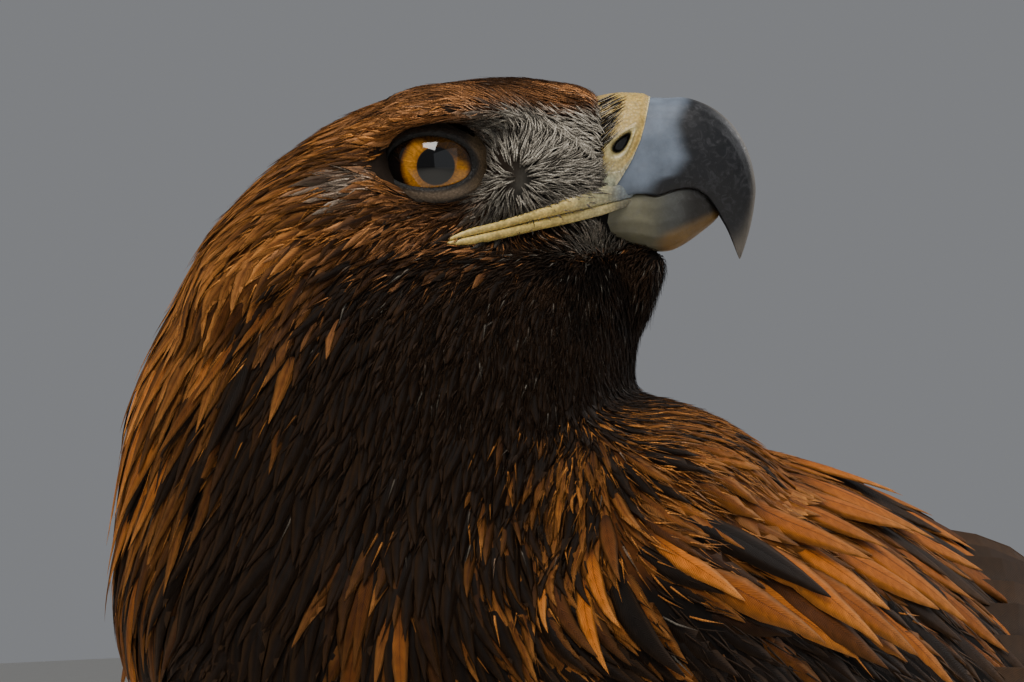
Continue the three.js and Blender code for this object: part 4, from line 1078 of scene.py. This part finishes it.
def cereFront(a):  # the station where the cere ends and the bare horn starts
    turn = np.abs(a) / math.pi
    return onLine(np.where(turn < 0.79, np.interp(turn, arch["turn"], arch["down"]), 1), cereLook["edge"])


def inNostril(u, w):  # 0 at the nostril's middle, 1 at its rim
    lean = math.radians(cereLook["nostrilLean"])
    du, dw = u - cereLook["nostril"][0], w - cereLook["nostril"][1]
    along = du * math.cos(lean) + dw * math.sin(lean)
    across = -du * math.sin(lean) + dw * math.cos(lean)
    wide = cereLook["nostrilWide"] * (1 - 0.4 * np.clip(along / cereLook["nostrilLong"], -1, 1))
    return np.hypot(along / cereLook["nostrilLong"], across / wide)


def makeUpperBill():
    def place(t, a):
        s = np.interp(t, [0, 0.03, 0.985, 1], [0, 0.2, 14.9, 15])
        hidden = 4.5 * smooth((cereFront(a) - 0.12 - s) / 0.3)  # thinner where it runs under the cere
        near = np.interp(t, [0, 0.03, 0.99, 1], [0, 1, 1, 0]) * (1 - np.clip(hidden / 16, 0, 1))
        return drawnIn(s, hornAt(s, a), near)
    horn = form("upperBill", place, 96, 160)
    u, side, w = headPlace(points(horn))
    ridge = smooth((np.hypot(u - 58, w) - 17.3) / 3) * smooth(1 - np.abs(side) / 6)
    paintVertices(horn, painted(hornPaint, "blue", dark=smooth((u - onLine(w, darkFrom)) / 5 + 0.45),
                                ridge=0.5 * ridge * (1 - smooth((np.abs(side) - 1.2) / 2.2))))
    return horn


def makeLowerBill():
    def place(t, a):
        u = np.interp(t, [0, 0.04, 0.97, 1], [28, 28.5, 71.3, 71.8])
        near = np.interp(t, [0, 0.04, 0.95, 0.985, 1], [0, 1, 1, 0.75, 0])
        top, low, half = through(jawForm, u, "top low half")
        tall, out = (np.interp(np.abs(a) / math.pi, jawArch["turn"], jawArch[part]) for part in ("tall", "out"))
        middle = (top + low) / 2
        return inHead(u, np.sign(a) * half * near * out, middle + (low + (top - low) * tall - middle) * near)
    jaw = form("lowerBill", place, 80, 96)
    u, _, w = headPlace(points(jaw))
    rim = 0.75 * smooth((0.42 * (u - 45) - 21.5 - w) / 3) * smooth((u - 54) / 6)
    paintVertices(jaw, painted(jawPaint, "base", middle=smooth((u - 52) / 8),
                               tip=smooth((u - 60) / 6) * smooth((w + 19) / 6), rim=rim))
    return jaw


def makeCere():
    look = cereLook

    def place(t, a):
        share = np.clip((t - 0.06) / 0.86, 0, 1)
        s = look["back"] + (cereFront(a) - look["back"]) * share
        puff = look["lift"] * (1 - 0.75 * smooth((share - 0.82) / 0.18)) + 0.35 * np.sin(share * math.pi)
        return drawnIn(s, hornAt(s, a, puff), np.interp(t, [0, 0.05, 0.93, 0.955, 1], [0, 1, 1, 0.93, 0]))
    cere = form("waxyCere", place, 360, 120)
    u, side, w = headPlace(points(cere))
    pit = inNostril(u, w)
    sunk = look["nostrilDeep"] * (1 - smooth((pit - 0.55) / 0.5)) - 0.35 * smooth(1 - np.abs(pit - 1.35) / 0.4)
    side = np.where(np.abs(side) > 4, np.sign(side) * (np.abs(side) - sunk), side)
    movePoints(cere, inHead(u, side, w))
    # the nostril's pit is painted near-black: painted shade of its hollow
    paintVertices(cere, painted(
        cerePaint, "yellow", back=smooth((46 - u) / 8), nostril=0.7 * smooth((2.2 - pit) / 1.2),
        low=smooth((2 - w) / 7), rim=0.85 * smooth((u - onLine(w, look["rim"])) / 0.8),
        pit=1 - smooth((pit - 0.72) / 0.3)))
    return cere


# Horn: keratin laid down in growth bands, worn and scuffed at the tip
hornLook = dict(worn="6a6a70", bump=0.35)


def hornMaterial():
    material, tree, sockets = newMaterial(
        "layeredKeratinHorn", **{"IOR": 1.5, "Specular IOR Level": 0.35})
    tint = addNode(tree, "Attribute", dict(attribute_name="Tint"), out="Color")
    place = addNode(tree, "TexCoord", out="Object")
    cloud = addNode(tree, "TexNoise", None, {"Scale": 160, "Detail": 5, "Roughness": 0.62}, {"Vector": place}, "Fac")
    scuffs = addNode(tree, "TexNoise", None, {"Scale": 420, "Detail": 6, "Roughness": 0.7, "Distortion": 1.2},
                     {"Vector": place}, "Fac")
    clouds = addNode(tree, "MapRange", None, fromTo(0.3, 0.7, 0.72, 1.25), {"Value": cloud})
    worn = addNode(tree, "MapRange", None, fromTo(0.5, 0.75, 0, 0.22), {"Value": scuffs})
    colour = addNode(tree, "VectorMath", dict(operation="SCALE"), links={0: tint, "Scale": clouds})
    addNode(tree, "Mix", dict(data_type="RGBA"), {7: (*linear(hornLook["worn"]), 1)}, {"Factor": worn, 6: colour}, 2,
            sockets["Base Color"])
    addNode(tree, "MapRange", None, fromTo(0.35, 0.7, 0.42, 0.7), {"Value": scuffs}, to=sockets["Roughness"])
    addNode(tree, "Bump", None, {"Strength": hornLook["bump"], "Distance": 0.0002}, {"Height": scuffs},
            to=sockets["Normal"])
    return material


hornFinish = hornMaterial()
# Cere and lips: soft waxy skin that lets some light in
waxFinish = softSkinMaterial("waxyBillSkin", 0.7, 0.12, 0.42, **{
    "Subsurface Weight": 0.15, "Subsurface Radius": (0.002, 0.001, 0.0004), "Subsurface Scale": 1.0})


def makeCereBristles(count=300):
    s = 0.62 + 0.6 * random.random((count, 1)) ** 1.5
    a = np.radians(18 + 100 * random.random((count, 1))) * np.sign(random.random((count, 1)) - 0.5)
    stops = vec(*barbKind["stops"])[None]
    climb = 0.5 + 0.5 * random.random((count, 1))
    u, side, w = hornAt(s + 0.6 * stops, a * (1 - 0.26 * climb * stops), 0.9 + 1.3 * stops)
    clear = inNostril(u, w).min(1) > 1.25
    count = int(clear.sum())
    path = inHead(u, side, w)[clear]
    up = unit(np.sign(side[clear])[..., None] * sideWay + 0.3 * upWay)
    shade = np.where(random.random(count) < 0.7, 0.0, 1.0)
    colours = mix(palette["grey"], palette["greyPale"], shade)[:, None, None]
    piece = growVanes("cereBristles", barbKind, path[:, 0], np.full(count, 6 * mm), np.full(count, 0.22 * mm),
                      np.full(count, 1.0), lambda e, t: colours, (path, up))


makeCereBristles()
finishPiece(makeUpperBill(), hornFinish, ["bill_upper"])
finishPiece(makeLowerBill(), hornFinish, ["bill_lower"])
finishPiece(makeCere(), waxFinish, ["cere"])


# Lips: the yellow edges of the gape, from the bill back to the corner below the eye
lipLook = dict(upper=[0.9, 1, 1.3, 1.8, 2.3, 2, 0.6], lower=[1, 1.2, 1.3, 1.35, 1.3, 1, 0.4],
               out=[(0, 0), (30, 14.6), (38, 14.9), (41, 14.4), (43.5, 13.2), (46, 11.8), (49, 10.4), (52, 8.6)],
               bulge=[(0, 1.1), (32, 0.95), (42, 0.5), (52, 0.35)])
lipPaint = dict(upper=paints(corner="cbb062", middle="a9a27c", front="737a7c"),
                lower=paints(corner="cbb062", middle="bfae78", front="6b6652"))


def makeLip(row, sign, side, hand):
    keys = np.linspace(0, 1, len(gapeLine))
    fine = np.linspace(0, 1, 60)
    lineU, lineW = np.array(gapeLine).T
    radii = lipLook[row]
    u = np.interp(fine, keys, lineU)
    w = np.interp(fine, keys, lineW) + sign * np.interp(fine, keys, radii)
    outAt = np.maximum(skinOut(u, w, 1, 11) * (1 - smooth((u - 38) / 5)), onLine(u, lipLook["out"]))
    outAt = np.convolve(np.pad(outAt, 3, "edge"), np.ones(7) / 7, "valid")  # evened out over seven places

    def place(t, a):
        u = np.interp(t, keys, lineU)
        radius = np.interp(t, keys, radii) * np.sqrt(np.clip(np.sin(t * math.pi) * 4, 0, 1))
        w = np.interp(t, keys, lineW) + sign * (radius * 0.96 + 0.08)
        side = np.interp(t, fine, outAt) + 0.4 * smooth((42 - u) / 6)
        bulge = radius * onLine(u, lipLook["bulge"])
        return inHead(u, hand * (side + bulge * np.cos(a)), w + radius * np.sin(a))
    lip = form(row + "Lip" + side, place, 20, 80)
    u = headPlace(points(lip))[0]
    paintVertices(lip, painted(lipPaint[row], "corner", middle=smooth((u - 30) / 12), front=smooth((u - 42.5) / 5)))
    finishPiece(lip, waxFinish, None)


for hand, side in ((1, "Right"), (-1, "Left")):
    makeLip("upper", 1, side, hand)
    makeLip("lower", -1, side, hand)
print("bill, cere and lips")


# Wings, folded: rows of quills from the long primaries up to the small coverts, each row over the next longer one
quillKind = dict(stops=[0, 0.08, 0.17, 0.27, 0.38, 0.5, 0.62, 0.73, 0.82, 0.89, 0.94, 0.975, 1],
                 columns=[-1, -0.9, -0.6, -0.3, -0.05, 0, 0.05, 0.3, 0.6, 0.9, 1], ragged=0.035, sweep=0.15,
                 thick=0.35, root=0.5)
quillLook = dict(lap=1.5, layer=2.7, lowest=-4, below=5, widest=46, rimDrop=9, rimFrom=0.72, unevenTip=2.2,
                 unevenLine=0.006, unevenHeight=0.5)
wingRows = table(
    "name count span roots tips bow level pointed wide tone",
    ("primaries", 6, (0.02, 0.66), (70, 92), (318, 447), 1.6, -1.5, 0.5, 1.75, (0, 0)),
    ("secondaries", 11, (0, 0.95), (-6, 66), (205, 330), 1, 0, 0.2, 2.6, (0, 0.15)),
    ("greaterCoverts", 13, (0, 0.88), (-58, 8), (86, 190), 1, 1, 0.25, 2.6, (0.1, 0.5)),
    ("medianCoverts", 13, (0, 0.84), (-46, -10), (40, 112), 1, 1.6, 0.3, 2.5, (0, 0.45)))


def wingSpot(y, line, lift):  # line runs from the wing's low edge, 0, to its top edge, 1
    low, top = through(wingRims, y, "low top")
    rimDrop = quillLook["rimDrop"] * np.clip((line - quillLook["rimFrom"]) / 0.28, 0, 1.15) ** 2
    return overBody(wingForm, y, np.radians(low + (top - low) * line), lift - rimDrop)


def normalsOf(surface, a, b, lift):
    across = surface(a + 0.5, b, lift) - surface(a - 0.5, b, lift)
    along = surface(a, b + 0.01, lift) - surface(a, b - 0.01, lift)
    return unit(np.cross(along, across))


def quillPaint(count, pale, bars):
    # dark quills: a pale shaft and edges, dim bars on the long ones, a lighter tip
    lively = (0.42 + 0.5 * random.random(count))[:, None, None, None]
    pale = np.broadcast_to(pale, count)[:, None, None, None]
    phase = random.random(count)[:, None, None, None] * 6
    base, light = palette["dark"] * 1.25, palette["covertsPale"]

    def paint(e, t):
        rim = smooth((np.abs(e) - 0.86) / 0.14) + smooth((t - 0.93) / 0.07) * 0.7
        bands = bars * smooth(np.sin(t * 34 + phase + 2 * np.abs(e)) * 2 - 0.6) * smooth((0.85 - t) / 0.3)
        colour = base + (palette["coverts"] - base) * (0.2 + 0.7 * pale)
        colour = colour + (light - colour) * np.clip((0.35 + 0.6 * pale) * rim + 0.3 * bands, 0, 1)
        return (colour + (light * 0.7 - colour) * ((np.abs(e) < 0.03) * 0.5)) * lively
    return paint


def makeWingRow(row, hand, side):
    look, count = quillLook, row["count"]
    stops = vec(*quillKind["stops"])[None]
    share = ((np.arange(count) + 0.5) / count)[:, None]
    loose = random.normal(size=(3, count, 1))
    root = between(row["roots"], share)
    tip = between(row["tips"], 1 - (1 - share) ** row["bow"]) + look["unevenTip"] * loose[0]
    y = root + (tip - root) * stops
    line = between(row["span"], share) + look["unevenLine"] * loose[1] * stops
    low, top = through(wingRims, y, "low top")
    up, half = through(wingForm, y, "up half")
    radius = (up + half) / 2
    spacing = radius * np.radians(low - top) * (row["span"][1] - row["span"][0]) / count
    height = look["lowest"] + row["level"] * look["layer"] + look["unevenHeight"] * loose[2]
    rise = height - look["lowest"] + look["below"]
    lift = look["lowest"] - look["below"] + rise * smooth(stops / (0.3 if row["level"] < 1 else 0.55))
    path, up = wingSpot(y, line, lift), normalsOf(wingSpot, y, line, lift)
    path[..., 0] *= hand
    up[..., 0] *= hand
    kind = dict(quillKind, tilt=hand * look["lap"] / spacing.mean(), camber=0.04 + 0.5 * spacing.mean() / radius.mean())
    widths = np.minimum(spacing * row["wide"], look["widest"]) * mm * (1 - 0.4 * smooth((share - 0.7) / 0.3))
    tone = between(row["tone"], random.random(count))
    return growVanes(row["name"] + side, kind, path[:, 0], (tip - root)[:, 0] * mm, widths,
                     np.full(count, row["pointed"]), quillPaint(count, tone, row["level"] < 1), (path, up))


for hand, side in ((1, "Left"), (-1, "Right")):
    for row in wingRows:
        makeWingRow(row, hand, side)
print("wings")


# Tail: twelve broad quills in a shallow fan, with coverts over and under its root
tailLook = dict(root=(206, 281), slope=26, start=6, spread=1.5, droop=0.004, camber=0.1, narrow=0.6)
tailRows = table(
    "name count fan reach wide base step pointed tone",
    ("tailQuills", 12, 11, 292, 46, 0, 1.9, 0.08, 0.1),
    ("upperTailCoverts", 9, 8, 128, 32, 9, 1.5, 0.3, 0.6),
    ("upperTailRoots", 8, 8, 84, 27, 15, 1.2, 0.35, 0.7),
    ("underTailCoverts", 9, 8, 132, 32, -4, -1.6, 0.3, 0.4),
    ("underTailRoots", 7, 8, 86, 27, -10, -1.3, 0.35, 0.4))


def tailSpot(reach, angle, lift):
    look = tailLook
    slope = math.radians(look["slope"])
    side = reach * np.sin(angle) * look["spread"]
    back = reach * np.cos(angle)
    droop = look["droop"] * side ** 2
    return body(side, look["root"][0] + back * math.cos(slope) + lift * math.sin(slope),
                look["root"][1] - back * math.sin(slope) + (lift - droop) * math.cos(slope))


def makeTailRow(row):
    look, count = tailLook, row["count"]
    stops = vec(*quillKind["stops"])[None]
    place = np.linspace(-1, 1, count)[:, None]  # from the right edge to the left
    height = row["base"] + row["step"] * (1 - np.abs(place)) * (count / 2) + row["step"] / 2 * (place > 0)
    length = row["reach"] * (1 - 0.06 * np.abs(place)) + 1.5 * random.normal(size=(count, 1)) - look["start"]
    at = (look["start"] + length * stops, np.radians(row["fan"]) * place, height * smooth(stops * 4))
    path = tailSpot(*at)
    up = normalsOf(tailSpot, *at) * (1 if row["step"] > 0 else -1)
    kind = dict(quillKind, root=look["narrow"], camber=look["camber"])
    return growVanes(row["name"], kind, path[:, 0], length[:, 0] * mm, np.full(count, row["wide"] * mm),
                     np.full(count, row["pointed"]), quillPaint(count, row["tone"], row["name"] == "tailQuills"),
                     (path, up))


tailPieces = [makeTailRow(row) for row in tailRows]
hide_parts("tail")
print("tail")


# Feet: yellow toes with plates on top and pebbled soles, and long black claws
footLook = dict(x=70, y=6, radius=8.6, voxel=0.00095, smoothing=3, plate=4.6, plateDepth=0.55, lowest=0.05)
footSpot = vec(footLook["x"], footLook["y"], 0)
toeRows = table("turn length claw", (-36, 43, 43), (3, 66, 33), (41, 49, 28), (180, 36, 50))
toePads = dict(at=[-0.12, 0, 0.18, 0.36, 0.55, 0.76, 0.92, 1.06], wide=[0.9, 1.12, 0.95, 1.03, 0.86, 0.98, 0.84, 0.62],
               rise=[2.4, 1.6, 0.9, 0, 0.5, 0, 0.2, 1.4])
footPad = dict(at=[-17, -12, -2, 8, 16, 20], wide=[6, 10.5, 13.6, 12.6, 8.5, 5], high=[8.5, 10.4, 12, 12.2, 11.5, 10.5])
clawLook = dict(bow=104, root=8.6, tip=1.4, back=5, wide=4.9, taper=4.55, tall=1.2, groove=0.75)
footPaint = paints(side="b8963f", top="d2b45a", sole="6d5a33")
clawPaint = paints(root="3a342f", tip="121214")


def toeWays(toe):  # along the toe, and across it
    turn = math.radians(toe["turn"])
    way = vec(math.sin(turn), -math.cos(turn), 0)
    return way, vec(way[1], -way[0], 0)


def makeToe(toe):
    way, side = toeWays(toe)

    def place(t, a):
        at = np.interp(t, [0, 1], [toePads["at"][0], toePads["at"][-1]])
        thick, rise = (np.interp(at, toePads["at"], toePads[part]) for part in ("wide", "rise"))
        wide = thick * footLook["radius"] * closing(t)
        high = thick * footLook["radius"] + rise - 0.5
        out = footSpot + way * (at * toe["length"])[:, None] + side * (wide * np.cos(a))[:, None]
        return (out + upWay * np.maximum(high + wide * np.sin(a), footLook["lowest"])[:, None]) * mm + shift
    return form("toe", place, 28, 60)


def makeSole():
    def place(t, a):
        at = np.interp(t, [0, 1], [footPad["at"][0], footPad["at"][-1]])
        wide = np.interp(at, footPad["at"], footPad["wide"]) * closing(t)
        high = np.interp(at, footPad["at"], footPad["high"]) + wide * np.sin(a)
        return body(footSpot[0] + wide * np.cos(a), footSpot[1] + at, np.maximum(high, footLook["lowest"]))
    return form("sole", place, 28, 24)


def makeFoot(name, hand):
    look = footLook
    foot = fuse([makeToe(toe) for toe in toeRows] + [makeSole()], name, look["voxel"])
    relax(foot, look["smoothing"])
    spots = (points(foot) - shift) / mm
    normals = fetch(foot.data.vertices, "normal")
    flat = spots - footSpot
    best, plated = np.full(len(spots), 99.0), np.zeros(len(spots))
    for toe in toeRows:  # plates on top of whichever toe is nearest
        way, side = toeWays(toe)
        out, off = flat @ way, np.abs(flat @ side)
        near = off + 30 * smooth(-out / 5) + 30 * smooth((out - toe["length"] - 6) / 4)
        onTop = smooth((normals[:, 2] - 0.35) / 0.3) * smooth((out - 0.3 * toe["length"]) / 4) * smooth((8 - off) / 2)
        saw = 1 - np.abs((out / look["plate"]) % 1 * 2 - 1) ** 5
        plated = np.where(near < best, onTop * (saw - 0.2), plated)
        best = np.minimum(near, best)
    spots = spots + normals * (look["plateDepth"] * plated)[:, None]
    spots[:, 2] = np.maximum(spots[:, 2], 0.03)
    spots[:, 0] *= hand
    movePoints(foot, spots * mm + shift)
    turnOutwards(foot)
    z = points(foot)[:, 2] / mm
    paintVertices(foot, painted(footPaint, "side", top=smooth((z - 7) / 9), sole=0.5 * smooth((5 - z) / 5)))
    return foot


def makeClaw(name, toe, hand):
    look = clawLook
    way, side = toeWays(toe)
    bow = math.radians(look["bow"])
    radius = toe["claw"] / (2 * math.sin(bow / 2))
    fall = math.asin((look["tip"] - look["root"]) / toe["claw"])
    root = footSpot + upWay * look["root"] + way * (toe["length"] - look["back"])

    def place(t, a):
        s = np.interp(t, [0, 1], [-0.04, 1])
        chord = 2 * radius * np.sin(bow * s / 2)
        lean = fall + bow / 2 - bow * s / 2
        aim = fall + bow / 2 - bow * s
        spot = root + way * (chord * np.cos(lean))[:, None] + upWay * (chord * np.sin(lean))[:, None]
        normal = way * -np.sin(aim)[:, None] + upWay * np.cos(aim)[:, None]
        wide = look["wide"] - look["taper"] * np.clip(s, 0, 1) ** 1.15
        wide = wide * np.sqrt(np.clip(np.sin(t * math.pi) * 9, 0, 1))
        under = np.where(np.sin(a) < 0, look["groove"], 1)  # flattened below, where the claw has its groove
        out = spot + side * (wide * np.cos(a))[:, None] + normal * (look["tall"] * wide * under * np.sin(a))[:, None]
        out[:, 0] *= hand
        return out * mm + shift
    claw = form(name, place, 24, 56)
    fromRoot = np.linalg.norm((points(claw) - shift) / mm - root * vec(hand, 1, 1), axis=1)
    paintVertices(claw, painted(clawPaint, "root", tip=smooth(fromRoot / toe["claw"])))
    return claw


# Feet: hard scaled skin, matt between the plates
footFinish = softSkinMaterial("scaledFootSkin", 1.5, 0.3, 0.5)
for hand, side in ((1, "left"), (-1, "right")):
    finishPiece(makeFoot("foot" + side.title(), hand), footFinish, ["foot_" + side])
    for i, toe in enumerate(toeRows):
        finishPiece(makeClaw(f"claw{i + 1}{side.title()}", toe, hand), hornFinish, [f"claw_{i + 1}_{side}"])
print("feet and claws")


# The skin stands for the nodes that are only coat and flesh
skinNodes = ["head", "neck", "torso"] + [f"{part}_{side}" for part in ("wing", "thigh", "tarsus")
                                         for side in ("left", "right")]
finishPiece(skin, downMaterial(), skinNodes)


# Studio: a plain pale floor, soft lights and the photograph's view of the right cheek
studio = dict(floor=12, paint=("dedbd4", "e8e5de"), view=(20, 0, -44), distance=1.6, lens=225, sensor=36, reach=50,
              air=(0.35, 0.36, 0.38, 1), airGlow=0.6)
lamps = table("name place watts size tint",
              ("key", (0.35, -1.15, 2.3), 64, 1.1, (1, 0.96, 0.9)),
              ("fill", (2.2, -0.9, 0.9), 14, 3, (0.9, 0.95, 1)),
              ("back", (0.5, 2.2, 1.8), 38, 1.2, (1, 1, 1)))


def aimAt(piece, target):
    piece.rotation_euler = (Vector(target) - piece.location).to_track_quat("-Z", "Y").to_euler()


# Floor: painted board, rolled to a fine matt grain
def floorMaterial():
    material, tree, sockets = newMaterial("mattFloorPaint", **{"Roughness": 0.85, "Specular IOR Level": 0.2})
    place = addNode(tree, "TexCoord", out="Object")
    grain = addNode(tree, "TexNoise", None, {"Scale": 60, "Detail": 3}, {"Vector": place}, "Fac")
    ramp = addNode(tree, "ValToRGB", links={0: grain}, to=sockets["Base Color"])
    for band, colour in zip(ramp.node.color_ramp.elements, studio["paint"]):
        band.color = (*linear(colour), 1)
    return material


bpy.ops.mesh.primitive_plane_add(size=studio["floor"], location=(0, 0, 0))
floor = bpy.context.object
floor.name = "floor"
floor.data.materials.append(floorMaterial())
target = inHead(*studio["view"])
bpy.ops.object.camera_add(location=target + sideWay * studio["distance"])
camera = bpy.context.object
camera.data.lens = studio["lens"]
camera.data.sensor_width = studio["sensor"]
camera.data.clip_end = studio["reach"]
aimAt(camera, target)
bpy.context.scene.camera = camera
for lamp in lamps:
    bpy.ops.object.light_add(type="AREA", location=lamp["place"])
    light = bpy.context.object
    light.name = lamp["name"]
    light.data.energy = lamp["watts"]
    light.data.size = lamp["size"]
    light.data.color = lamp["tint"]
    aimAt(light, headMiddle)
world = bpy.data.worlds.new("studioAir")
bpy.context.scene.world = world
world.use_nodes = True
world.node_tree.nodes["Background"].inputs[0].default_value = studio["air"]
world.node_tree.nodes["Background"].inputs[1].default_value = studio["airGlow"]
print("studio")
